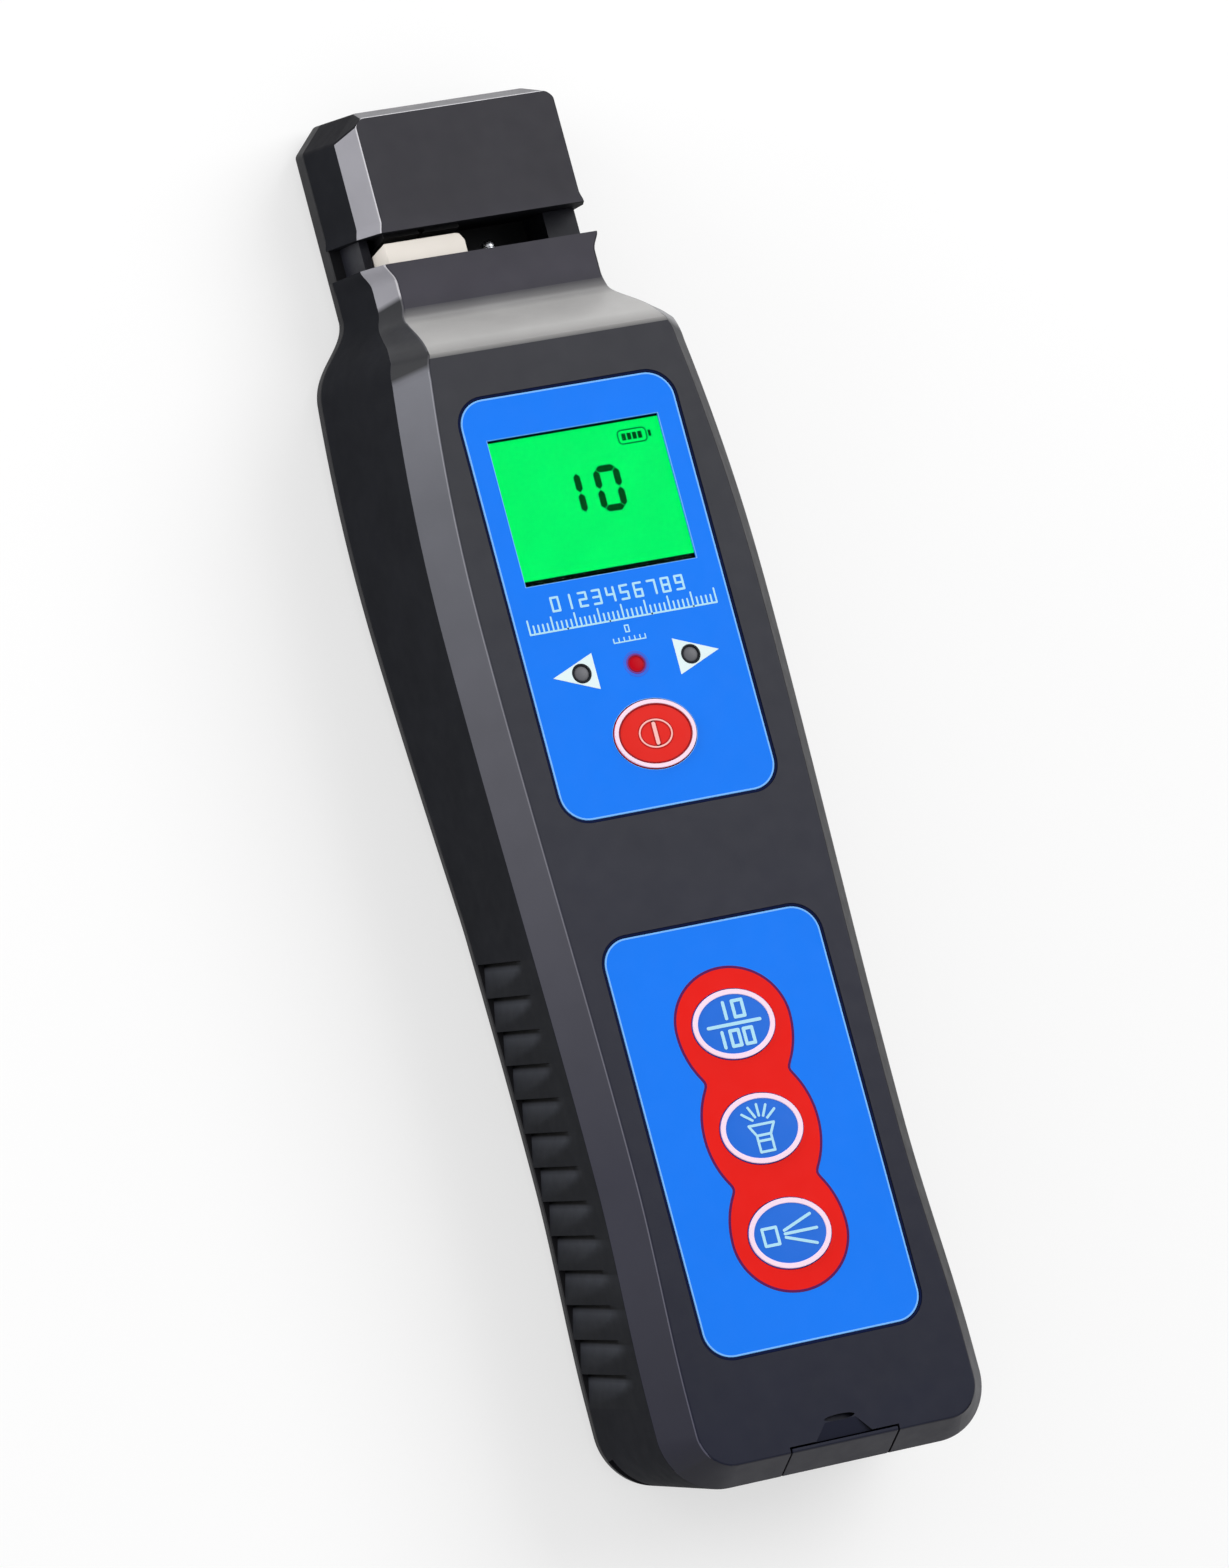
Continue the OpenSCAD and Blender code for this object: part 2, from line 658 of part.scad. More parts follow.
// Power. Each cell lies between a spring and a flat contact, the two turned end for end.
cell_x = 6.3;
cell_z = 8.2;
button_radius = 2.7;
button_height = 1;
cell_spring_length = 4.1;
cell_spring_radius = 3;
cell_spring_wire = 0.4;
cell_spring_turns = 2.5;
contact_thickness = 0.4;
contact_half = 11.8;
contact_low_z = cell_z - cell_radius / 2;
tray_rise = 29.4;
tray_low_y = -half_length + tray_rise;
contact_low_y = tray_low_y + contact_thickness;
contact_top_y = contact_low_y + cell_spring_length + cell_length + button_height;
tray_top_y = contact_top_y + contact_thickness;
tray_wall = 1.2;
cell_play = 0.84;
tray_half = cell_x + cell_radius + cell_play;
tray_top_z = 10;
tray_ear = 4;
door_gap = 0.2;
door_top_y = -half_length + door_length;
door_low_z = 0.25;
door_top_z = door_low_z + door_thickness;
tongue_reach = 1.2;
tongue_height = 1;
tongue_inset = 6;
tongue_low_y = tray_low_y + tongue_inset;
tongue_drop = 4;
tongue_root = 2;
latch_half = 4;
latch_reach = 4;
door_ridge_count = 5;
door_ridge_pitch = 2.2;
door_ridge_place = 8;
door_ridge_half = 7;
door_ridge_radius = 0.5;

module at_places(places) for (p = places) translate([p[0], p[1], 0]) children();

module key_hole(y) oval_disc(key_width + 2 * key_gap, key_length + 2 * key_gap, y,
    front_inner_z - over, body_depth + over);

// Profile of the flap's outer face, pushed inwards by a depth
function flap_face(depth) = [
    [foot_face_y(flap_pin_height) + depth, flap_pin_height],
    [foot_face_y(edge_z) + depth, edge_z - depth / 3],
    [flap_lip_y, body_depth - depth]];

module flap_opening() {
    outside_y = foot_y - over;
    across(flap_width + 2 * flap_gap, [
        [outside_y, flap_floor_z], [outside_y, body_depth + over],
        [flap_lip_y + flap_gap, body_depth + over],
        [flap_lip_y + flap_gap, body_depth - flap_thickness - flap_gap],
        [foot_face_y(edge_z) + flap_thickness + flap_gap, edge_z - flap_thickness / 3],
        [flap_pin_y + flap_barrel_radius + flap_gap, flap_pin_height + flap_barrel_radius],
        [flap_pin_y + flap_barrel_radius + flap_gap, flap_floor_z]]);
}

// Slit and hollow for a fingernail above the flap
module nail_notch() {
    block([-nail_width / 2, nail_y - nail_length / 2, body_depth - nail_depth],
        [nail_width / 2, nail_y + nail_length / 2, body_depth + over]);
    across(nail_width * 1.6, [[flap_lip_y - over, body_depth - nail_depth / 2],
        [nail_y - nail_length, body_depth], [nail_y - nail_length, body_depth + over],
        [flap_lip_y - over, body_depth + over]]);
}

module front_cavity() {
    mid = (cavity_foot_y + cavity_top_y) / 2;
    span = cavity_top_y - cavity_foot_y;
    port_mid = (port_cavity_y + cavity_top_y) / 2;
    port_span = cavity_top_y - port_cavity_y;
    plate(2 * cavity_half, span, cavity_corner, mid, seam_height - over, foot_cavity_z + over);
    plate(2 * cavity_half, port_span, cavity_corner, port_mid, foot_cavity_z, upper_cavity_z);
    plate(2 * upper_cavity_half, port_span, cavity_corner, port_mid, upper_cavity_z - over, front_inner_z);
    block([-neck_cavity_half, cavity_top_y - cavity_corner, seam_height - over],
        [neck_cavity_half, slot_place - neck_wall, neck_cavity_z]);
}

module film_pocket(length, y) plate(panel_width + 2 * film_gap, length + 2 * film_gap,
    panel_corner + film_gap, y, film_floor_z, body_depth + over);
module window_block(margin, low_z, top_z) block(
    [-window_width / 2 - margin, window_place - window_length / 2 - margin, low_z],
    [window_width / 2 + margin, window_place + window_length / 2 + margin, top_z]);
module lamp_hole(x, low_z) post(x, lamp_place, low_z, body_depth, lamp_radius + lamp_play);

module front_cover() color([0.19, 0.19, 0.21]) {
    difference() {
        skin([for (s = case_stations) front_section(s)]);
        front_cavity();
        film_pocket(upper_panel_length, upper_panel_place);
        film_pocket(lower_panel_length, lower_panel_place);
        window_block(pane_margin + film_gap, film_floor_z - pane_thickness - seat_gap, film_floor_z + over);
        window_block(0, front_inner_z - over, film_floor_z);
        for (y = key_places) key_hole(y);
        for (s = [-1:1]) lamp_hole(s * lamp_pitch, front_inner_z - over);
        flap_opening();
        bar(0, foot_y, port_height, port_cavity_y + over, sleeve_radius + seat_gap);
        bar(torch_place, foot_y - over, torch_z, port_cavity_y + over, torch_radius + seat_gap);
        bar(torch_place, port_cavity_y, torch_z, lens_top_y + over, torch_radius + lens_flange + seat_gap);
        cross_bar(flap_pin_half + seat_gap, flap_pin_y, flap_pin_height, flap_pin_radius + seat_gap);
        nail_notch();
        // The spine, the adapter's stem and the two rods pass through the wall under the slot
        block([-neck_cavity_half, slot_place - neck_wall - over, seam_height - over],
            [neck_cavity_half, slot_place + over, head_seam_height + seat_gap]);
        block([stem_left_x - stem_play, slot_place - neck_wall - over, stem_low_z - stem_play],
            [stem_right_x + stem_play, slot_place + over, stem_top_z + stem_play]);
        for (x = rod_places) bar(x, slot_place - neck_wall - over, rod_z, slot_place + over, rod_radius);
    }
    difference() {
        union() {
            at_places(body_screw_places) post(0, 0, seam_height, front_inner_z + over, boss_radius);
            at_places(board_hole_places) post(0, 0, board_top_z, front_inner_z + over, board_post_radius);
            // Bracket across the neck that holds the lower ends of the rods
            block([-neck_cavity_half - over, bracket_low_y, bracket_low_z],
                [neck_cavity_half + over, bracket_low_y + bracket_thickness, neck_cavity_z + over]);
        }
        at_places(body_screw_places) insert_hole(seam_height);
        at_places(board_hole_places) post(0, 0, board_top_z - over, front_inner_z, board_screw_radius);
        for (x = rod_places) bar(x, rod_low_y, rod_z, rod_low_y + bracket_thickness + over, rod_radius);
    }
}

// Hole for a brass insert, and below it for the screw's tip
module insert_hole(z) {
    post(0, 0, z - over, z + insert_length, insert_radius);
    post(0, 0, z, z + screw_length, screw_radius + screw_play);
}
module screw_hole() {
    post(0, 0, -over, screw_seat_z, screw_head_radius + screw_head_play);
    post(0, 0, 0, head_seam_height + over, screw_radius + screw_play);
}

// Rear sections run on past the slot into the rear shell of the head
rear_head_stations = concat([[slot_place + seat_gap, head_half, 1, 0]],
    [for (i = [1:3]) head_stations[i]]);

module rear_cover() color([0.13, 0.13, 0.14]) difference() {
    union() {
        difference() {
            skin(concat([for (s = case_stations) rear_section(s, seam_height)],
                [for (s = rear_head_stations) head_rear_section(s)]));
            rear_cavity();
        }
        at_places(body_screw_places) post(0, 0, back_wall - over, seam_height, rear_boss_radius);
        battery_tray();
        // Cheeks behind the slot, and the spine that ties them to neck and head
        block([-head_half + cheek_inset, slot_place + seat_gap, head_seam_height - over],
            [head_half - cheek_inset, slot_top_y - seat_gap, cheek_height]);
        block([-neck_cavity_half + seat_gap, slot_place - spine_length, back_wall - over],
            [neck_cavity_half - seat_gap, slot_top_y + neck_wall, head_seam_height]);
    }
    block([channel_left_x, slot_place - spine_length - over, head_seam_height],
        [channel_left_x + channel_width, slot_top_y + neck_wall + over, cheek_height + over]);
    block([ribbon_x - ribbon_play, slot_place - spine_length - over, ribbon_z - ribbon_play],
        [ribbon_x + ribbon_width + ribbon_play, slot_top_y + neck_wall + 2 * over,
            ribbon_z + ribbon_thickness + ribbon_play]);
    at_places(body_screw_places) screw_hole();
    at_places(head_screw_places) screw_hole();
    // Window of the thumb trigger
    block([-trigger_pad_width / 2 - trigger_play, trigger_low_y - trigger_play, -over],
        [trigger_pad_width / 2 + trigger_play,
        trigger_low_y + trigger_pad_length + trigger_travel + trigger_play, back_wall + over]);
    // Opening of the battery door, open at the foot
    block([-door_width / 2 - door_gap, foot_y, -over],
        [door_width / 2 + door_gap, door_top_y + door_gap, door_top_z + door_gap / 2]);
}

module rear_cavity() {
    foot_inset = foot_wall + side_wall;
    mid = (foot_y + foot_inset + cavity_top_y) / 2;
    plate(2 * cavity_half - 2 * side_wall, cavity_top_y - foot_y - foot_inset, cavity_corner,
        mid, back_wall, seam_height + over);
    block([-neck_cavity_half, cavity_top_y - cavity_corner, back_wall],
        [neck_cavity_half, slot_place - neck_wall, seam_height + over]);
    block([-head_cavity_half, slot_top_y + neck_wall, back_wall],
        [head_cavity_half, head_screw_y - boss_radius - head_top_wall, head_seam_height + over]);
}

// Tray for the cells. Its end walls reach over the door's edges and stand beside them.
module battery_tray() {
    ear_x = door_width / 2 + door_gap + tongue_reach + door_gap;
    difference() {
        union() {
            block([-tray_half - tray_wall, tray_low_y - tray_wall, door_top_z + tongue_height + door_gap],
                [tray_half + tray_wall, tray_top_y + tray_wall, tray_top_z]);
            for (y = [tray_low_y - tray_wall, tray_top_y]) {
                block([-ear_x - tray_wall, y, door_top_z + tongue_height + door_gap],
                    [ear_x + tray_wall, y + tray_wall, tray_top_z - tray_ear]);
                for (s = [-1, 1]) block([s * (ear_x + tray_wall / 2) - tray_wall / 2, y, back_wall - over],
                    [s * (ear_x + tray_wall / 2) + tray_wall / 2, y + tray_wall, tray_top_z - tray_ear]);
            }
        }
        block([-tray_half, tray_low_y, -over], [tray_half, tray_top_y, tray_top_z + over]);
    }
}

module head_cover() color([0.2, 0.2, 0.22]) difference() {
    skin([for (s = head_stations) head_front_section(s)]);
    difference() {
        block([-head_cavity_half, slot_top_y + neck_wall, head_seam_height - over],
            [head_cavity_half, head_cavity_top_y, neck_cavity_z]);
        at_places(head_screw_places) post(0, 0, 0, neck_depth, boss_radius);
    }
    block([anvil_left_x - seat_gap, slot_top_y - over, anvil_low_z - seat_gap],
        [anvil_right_x + seat_gap, slot_top_y + neck_wall + over, anvil_top_z + seat_gap]);
    at_places(head_screw_places) insert_hole(head_seam_height);
}

module jaw_anvil() color([0.06, 0.06, 0.07]) difference() {
    block([anvil_left_x, slot_top_y + seat_gap, anvil_low_z], [anvil_right_x,
        slot_top_y + anvil_depth, anvil_top_z]);
    // Groove that takes the bend of the fibre
    translate([(anvil_left_x + anvil_right_x) / 2, slot_top_y, anvil_low_z - over]) rotate([0, 0, 45])
        cube([anvil_groove, anvil_groove, anvil_top_z - anvil_low_z + 2 * over]);
    for (x = diode_places) bar(x, slot_top_y + anvil_depth - diode_length / 2, rod_z,
        slot_top_y + anvil_depth + over, diode_radius + seat_gap);
}

module photodiodes() color([0.7, 0.7, 0.72]) for (x = diode_places)
    bar(x, slot_top_y + anvil_depth - diode_length / 2 + seat_gap, rod_z,
        slot_top_y + anvil_depth + diode_length / 2, diode_radius);

module detector_board() color([0.05, 0.3, 0.15])
    block([anvil_left_x, detector_low_y, detector_low_z],
        [detector_right_x, detector_low_y + detector_thickness, detector_top_z]);

module ribbon_cable() color([0.75, 0.72, 0.6]) {
    low = [ribbon_x, ribbon_drop_y, ribbon_z];
    high = [ribbon_x, ribbon_top_y, ribbon_z];
    block(low, high + [ribbon_width, ribbon_thickness, ribbon_thickness]);
    block(low, low + [ribbon_width, ribbon_thickness, board_low_z - seat_gap - ribbon_z]);
    block(high, high + [ribbon_width, ribbon_thickness, ribbon_top_z - ribbon_z]);
}

module film(length, y) plate(panel_width, length, panel_corner, y, film_floor_z, film_top_z);
module upper_overlay() color([0.16, 0.5, 0.96]) difference() {
    film(upper_panel_length, upper_panel_place);
    window_block(0, film_floor_z - over, body_depth);
    key_hole(power_key_place);
    for (s = [-1:1]) lamp_hole(s * lamp_pitch, film_floor_z - over);
}
module lower_overlay() color([0.16, 0.5, 0.96]) difference() {
    film(lower_panel_length, lower_panel_place);
    for (i = [1:panel_key_count]) key_hole(key_places[i]);
}

module display_pane() color([0.7, 0.95, 0.75, 0.5])
    window_block(pane_margin, film_floor_z - pane_thickness, film_floor_z - seat_gap / 2);

module display_module() color([0.1, 0.85, 0.3])
    block([-module_width / 2, window_place - module_length / 2, board_top_z],
        [module_width / 2, window_place + module_length / 2, front_inner_z - module_gap]);

module main_board() color([0.05, 0.3, 0.15]) difference() {
    plate(board_width, board_length, board_corner, (board_low_y + board_top_y) / 2, board_low_z,
        board_top_z);
    at_places(board_hole_places)
        post(0, 0, board_low_z - over, board_top_z + over, board_screw_radius + board_hole_play);
}

module lamp(x) {
    post(x, lamp_place, board_top_z, board_top_z + lamp_base_height, lamp_radius + lamp_base);
    post(x, lamp_place, board_top_z, film_top_z - lamp_radius, lamp_radius);
    translate([x, lamp_place, film_top_z - lamp_radius]) sphere(r = lamp_radius, $fn = round_steps);
}
module arrow_lamps() color([0.2, 0.2, 0.2]) for (s = [-1, 1]) lamp(s * lamp_pitch);
module signal_lamp() color([0.85, 0.05, 0.05]) lamp(0);

module key_switches() color([0.25, 0.25, 0.27]) for (y = key_places) {
    block([-switch_width / 2, y - switch_width / 2, board_top_z],
        [switch_width / 2, y + switch_width / 2, switch_top_z - switch_plunger_height]);
    post(0, y, board_top_z, switch_top_z, switch_plunger_radius);
}

module buzzer() color([0.08, 0.08, 0.08])
    post(buzzer_x, buzzer_y, board_low_z - buzzer_height, board_low_z, buzzer_radius);

module control_chip() color([0.1, 0.1, 0.1])
    block([-chip_width / 2, chip_y - chip_width / 2, board_low_z - chip_height],
        [chip_width / 2, chip_y + chip_width / 2, board_low_z]);

module key_cap(i) {
    flange_z = key_flange_top_z - key_flange_height;
    oval_disc(key_width, key_length, key_places[i], flange_z, body_depth + key_rise);
    oval_disc(key_width + 2 * key_flange, key_length + 2 * key_flange, key_places[i], flange_z,
        key_flange_top_z);
    post(0, key_places[i], key_stem_z, key_flange_top_z, key_stem_radius);
}
module power_key() color([0.88, 0.16, 0.12]) key_cap(0);
module level_key() color([0.16, 0.5, 0.96]) key_cap(1);
module torch_key() color([0.16, 0.5, 0.96]) key_cap(2);
module beam_key() color([0.16, 0.5, 0.96]) key_cap(3);

// Pad with grip grooves, the flange that keeps it in its window, and the arm that drives the spring
module thumb_trigger() color([0.1, 0.1, 0.11]) {
    flange_top_z = back_wall + trigger_flange_height;
    difference() {
        block([-trigger_pad_width / 2, trigger_low_y, trigger_recess],
            [trigger_pad_width / 2, trigger_low_y + trigger_pad_length, flange_top_z]);
        for (i = [1:pad_ridge_count]) cross_bar(trigger_pad_width,
            trigger_low_y + i * trigger_pad_length / (pad_ridge_count + 1), trigger_recess,
                pad_groove_radius);
    }
    block([-trigger_pad_width / 2 - trigger_flange, trigger_low_y - trigger_flange, back_wall + seat_gap],
        [trigger_pad_width / 2 + trigger_flange,
            trigger_low_y + trigger_pad_length + trigger_cover, flange_top_z]);
    block([push_spring_x - arm_half, arm_low_y, back_wall + seat_gap],
        [push_spring_x + arm_half, arm_low_y + arm_length, arm_foot_z]);
    block([push_spring_x - arm_half, arm_low_y + arm_length - arm_thickness, back_wall + seat_gap],
        [push_spring_x + arm_half, arm_low_y + arm_length, arm_top_z]);
}

module push_spring() color([0.75, 0.76, 0.78])
    coil(push_spring_x, arm_low_y + arm_length + seat_gap, rod_z,
        carriage_low_y + spring_pocket_depth - seat_gap,
        push_spring_radius, push_spring_wire, push_spring_turns);

module carriage() color([0.07, 0.07, 0.08]) {
    difference() {
        block([carriage_left_x, carriage_low_y, carriage_low_z], [carriage_right_x, carriage_top_y,
            carriage_top_z]);
        for (x = rod_places) bar(x, carriage_low_y - over, rod_z, carriage_top_y + over,
            rod_radius + rod_play);
        bar(push_spring_x, carriage_low_y - over, rod_z, carriage_low_y + spring_pocket_depth,
            push_spring_radius + push_spring_wire + spring_pocket_play);
    }
    block([stem_left_x, carriage_top_y - over, stem_low_z], [stem_right_x, slot_place + stem_rise,
        stem_top_z]);
}

// Cream block that presses the fibre, screwed on the carriage's stem, with room for a rod's end
module fibre_adapter() color([0.92, 0.89, 0.84]) difference() {
    across_depth(adapter_low_z, adapter_top_z, [
        [adapter_left_x, slot_place + adapter_seat],
        [adapter_left_x + adapter_width, slot_place + adapter_seat],
        [adapter_left_x + adapter_width, slot_place + adapter_rise - adapter_corner],
        [adapter_left_x + adapter_width - adapter_corner / 2,
            slot_place + adapter_rise - adapter_corner / 8],
        [adapter_left_x + adapter_width - adapter_corner, slot_place + adapter_rise],
        [adapter_left_x, slot_place + adapter_rise]]);
    bar((stem_left_x + stem_right_x) / 2, slot_place, rod_z,
        slot_place + adapter_rise - adapter_screw_cover + seat_gap, adapter_screw_radius + seat_gap);
    bar(rod_places[1], slot_place, rod_z, slot_place + adapter_rise + over, rod_radius + stem_play);
}
module across_depth(low, top, outline) translate([0, 0, low]) linear_extrude(top - low) polygon(outline);
module adapter_screw() color([0.75, 0.76, 0.78])
    bar((stem_left_x + stem_right_x) / 2, slot_place + stem_rise, rod_z,
        slot_place + adapter_rise - adapter_screw_cover, adapter_screw_radius);

module guide_rods() color([0.8, 0.81, 0.83]) for (x = rod_places)
    bar(x, rod_low_y, rod_z, rod_low_y + rod_length, rod_radius);

module laser_module() color([0.8, 0.65, 0.3]) difference() {
    bar(0, sleeve_top_y, port_height, sleeve_top_y + barrel_length, barrel_radius);
    bar(0, sleeve_top_y - over, port_height, sleeve_top_y + beam_length, beam_radius);
}

module ferrule_sleeve() color([0.78, 0.79, 0.8]) difference() {
    union() {
        bar(0, port_mouth_y, port_height, sleeve_top_y, sleeve_radius);
        bar(0, port_cavity_y + seat_gap, port_height, port_cavity_y + sleeve_flange,
            sleeve_radius + sleeve_flange);
    }
    bar(0, port_mouth_y - over, port_height, sleeve_top_y + over, ferrule_radius);
}

module port_flap() color([0.12, 0.12, 0.13]) difference() {
    outer = flap_face(0);
    inner = flap_face(flap_thickness);
    union() {
        across(flap_width, [outer[0], outer[1], outer[2], inner[2], inner[1], inner[0]]);
        cross_bar(flap_ear_half, flap_pin_y, flap_pin_height, flap_barrel_radius);
        across(2 * flap_ear_half, [outer[0],
            [foot_face_y(flap_pin_height + flap_ear_height), flap_pin_height + flap_ear_height],
            [flap_pin_y, flap_pin_height + flap_barrel_radius], [flap_pin_y, flap_pin_height]]);
    }
    cross_bar(flap_width, flap_pin_y, flap_pin_height, flap_pin_radius + flap_pin_play);
}
module flap_pin() color([0.75, 0.76, 0.78]) cross_bar(flap_pin_half, flap_pin_y, flap_pin_height,
    flap_pin_radius);

module torch_lens() color([0.85, 0.9, 0.95, 0.6]) {
    bar(torch_place, lens_face_y, torch_z, lens_top_y, torch_radius);
    bar(torch_place, port_cavity_y + seat_gap, torch_z, lens_top_y, torch_radius + lens_flange);
}
module torch_lamp() color([0.95, 0.95, 0.85])
    bar(torch_place, lens_top_y, torch_z, lens_top_y + torch_lamp_length, torch_lamp_radius);

// The left cell's button points to the head, the right one's to the foot
module battery_cell(x, low_y, button_y) {
    bar(x, low_y, cell_z, low_y + cell_length, cell_radius);
    bar(x, button_y, cell_z, button_y + button_height + over, button_radius);
}
module battery_cells() color([0.2, 0.45, 0.3]) {
    left_low_y = contact_low_y + cell_spring_length;
    battery_cell(-cell_x, left_low_y, left_low_y + cell_length - over);
    battery_cell(cell_x, contact_low_y + button_height, contact_low_y);
}
module cell_spring(x, low_y) coil(x, low_y + seat_gap, cell_z, low_y + cell_spring_length - seat_gap,
    cell_spring_radius, cell_spring_wire, cell_spring_turns);
module battery_springs() color([0.75, 0.76, 0.78]) {
    cell_spring(-cell_x, contact_low_y);
    cell_spring(cell_x, contact_top_y - cell_spring_length);
}
module battery_contacts() color([0.8, 0.8, 0.82]) for (y = [tray_low_y, contact_top_y])
    block([-contact_half, y, contact_low_z], [contact_half, y + contact_thickness, tray_top_z]);

// Door that slides off over the foot, with side tongues and a latch tongue inside the rear cover
module battery_door() color([0.12, 0.12, 0.13]) {
    difference() {
        across(door_width, [
            [foot_bevel_y(door_low_z) + door_gap, door_low_z],
            [foot_bevel_y(door_top_z) + door_gap, door_top_z],
            [door_top_y, door_top_z], [door_top_y, door_low_z]]);
        for (i = [0:door_ridge_count - 1]) cross_bar(door_ridge_half,
            door_top_y - door_ridge_place - i * door_ridge_pitch, door_low_z, door_ridge_radius);
    }
    tongue_z = back_wall + seat_gap;
    tongue_top_z = door_top_z + tongue_height;
    for (m = [0, 1]) mirror([m, 0, 0]) {
        block([door_width / 2 - tongue_root, tongue_low_y, door_top_z - over],
            [door_width / 2, door_top_y - tongue_drop, tongue_top_z]);
        block([door_width / 2 - over, tongue_low_y, tongue_z],
            [door_width / 2 + door_gap + tongue_reach, door_top_y - tongue_drop, tongue_top_z]);
    }
    latch_low_y = tray_top_y + tray_wall + door_gap;
    block([-latch_half, latch_low_y, door_top_z - over], [latch_half, door_top_y, tongue_top_z]);
    block([-latch_half, latch_low_y, tongue_z], [latch_half, door_top_y + latch_reach, tongue_top_z]);
}

module case_screws() color([0.35, 0.35, 0.37]) at_places(concat(body_screw_places, head_screw_places)) {
    post(0, 0, screw_seat_z - screw_head_height, screw_seat_z, screw_head_radius);
    post(0, 0, screw_seat_z, screw_seat_z + screw_length, screw_radius);
}

module insert(z) difference() {
    post(0, 0, z, z + insert_length, insert_radius);
    post(0, 0, z - over, z + insert_length + over, screw_radius + screw_play);
}
module screw_inserts() color([0.8, 0.65, 0.3]) {
    at_places(body_screw_places) insert(seam_height);
    at_places(head_screw_places) insert(head_seam_height);
}
module board_screws() color([0.75, 0.76, 0.78]) at_places(board_hole_places) {
    post(0, 0, board_low_z - board_screw_head_height, board_low_z, board_screw_radius + board_screw_head);
    post(0, 0, board_low_z, board_top_z + board_screw_reach, board_screw_radius - seat_gap);
}

front_cover();
rear_cover();
head_cover();
jaw_anvil();
photodiodes();
detector_board();
ribbon_cable();
upper_overlay();
lower_overlay();
display_pane();
display_module();
main_board();
arrow_lamps();
signal_lamp();
key_switches();
buzzer();
control_chip();
power_key();
level_key();
torch_key();
beam_key();
thumb_trigger();
push_spring();
carriage();
fibre_adapter();
adapter_screw();
guide_rods();
laser_module();
ferrule_sleeve();
port_flap();
flap_pin();
torch_lens();
torch_lamp();
battery_cells();
battery_springs();
battery_contacts();
battery_door();
case_screws();
screw_inserts();
board_screws();
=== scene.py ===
# Optical fibre identifier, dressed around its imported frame.
# Geometry is worked out in millimetres and turned into metres when a mesh is made.
from math import atan2, ceil, cos, hypot, pi, radians, sin, sqrt, tan

import bmesh
import bpy
from mathutils import Matrix, Vector


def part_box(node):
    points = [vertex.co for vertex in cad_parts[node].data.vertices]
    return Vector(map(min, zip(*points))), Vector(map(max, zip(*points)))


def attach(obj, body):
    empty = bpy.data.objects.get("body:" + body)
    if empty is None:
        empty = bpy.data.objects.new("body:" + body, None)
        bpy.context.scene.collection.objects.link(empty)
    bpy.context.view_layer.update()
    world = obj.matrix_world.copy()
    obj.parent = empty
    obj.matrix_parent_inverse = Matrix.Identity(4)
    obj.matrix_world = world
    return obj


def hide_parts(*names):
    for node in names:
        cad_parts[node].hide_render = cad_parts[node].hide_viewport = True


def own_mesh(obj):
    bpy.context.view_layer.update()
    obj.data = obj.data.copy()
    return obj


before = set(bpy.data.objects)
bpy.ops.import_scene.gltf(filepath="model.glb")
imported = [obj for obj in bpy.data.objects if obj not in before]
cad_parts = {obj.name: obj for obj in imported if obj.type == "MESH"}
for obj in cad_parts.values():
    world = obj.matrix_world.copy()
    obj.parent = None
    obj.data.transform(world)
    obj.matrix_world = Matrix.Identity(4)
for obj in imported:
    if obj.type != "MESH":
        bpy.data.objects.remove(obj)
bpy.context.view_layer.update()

MM = 0.001


# Places taken from the frame

def low(node):
    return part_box(node)[0] / MM


def high(node):
    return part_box(node)[1] / MM


def middle(node):
    return (low(node) + high(node)) / 2


def span(node):
    return high(node) - low(node)


BODY_DEPTH = high("front_cover").z
SEAM_Z = low("front_cover").z
HEAD_SEAM_Z = low("head_cover").z
NECK_DEPTH = high("head_cover").z
SLOT_Y = high("front_cover").y
SLOT_TOP_Y = low("head_cover").y
HALF_LENGTH = (high("rear_cover").y - low("front_cover").y) / 2
FILM_TOP_Z = high("upper_overlay").z
FILM_LOW_Z = low("upper_overlay").z

# Body of the case
CHEST_WIDTH = 49.4
WAIST_WIDTH = 47
FOOT_WIDTH = 49
SHOULDER_WIDTH = 44.8
SHOULDER_LEAN = 2.8
NECK_WIDTH = 34.4
NECK_LEAN = 1.6
EDGE_WIDTH = 3.6
FOOT_EDGE_WIDTH = 3.4
EDGE_DEPTH = 5.9
NECK_EDGE_WIDTH = 1.9
NECK_EDGE_DEPTH = 5.2
BACK_EDGE = 2.6
FOOT_RADIUS = 8.5
RAKE_SHARE = 0.22
SLOT_RAKE = 0.19
NECK_LENGTH = 17.05
RAMP_Y = SLOT_Y - NECK_LENGTH
RAMP_LENGTH = 8.6
RAMP_START_SHARE = 0.12
SHOULDER_Y = RAMP_Y - 3.7
SHOULDER_LENGTH = 14.5
HEAD_CUT = 4
HEAD_FRONT_CUT = 1
TOP_EDGE_WIDTH = 1.3
LIP_FLARE = 1.1
LIP_LENGTH = 3.2
LIP_POWER = 1.5
RIB_COUNT = 13
RIB_PITCH = 4.97
RIB_DEPTH = 1.1
RIB_MARGIN = 4.2
RIB_TOP_SHARE = 0.79
RIB_REACH_SHARES = (0.25, 0.96)
RIB_REACH_POWER = 0.8
RIB_DEPTH_POWER = 0.7
CHEST_Y = RAMP_Y - 40.2
LEAN_START_Y = CHEST_Y - 42
RAKE_FADE = (RAMP_Y - 2.2, SLOT_Y - 3.25)
FRONT_WALL = 2.4
SIDE_WALL = 2
BACK_WALL = 2.2

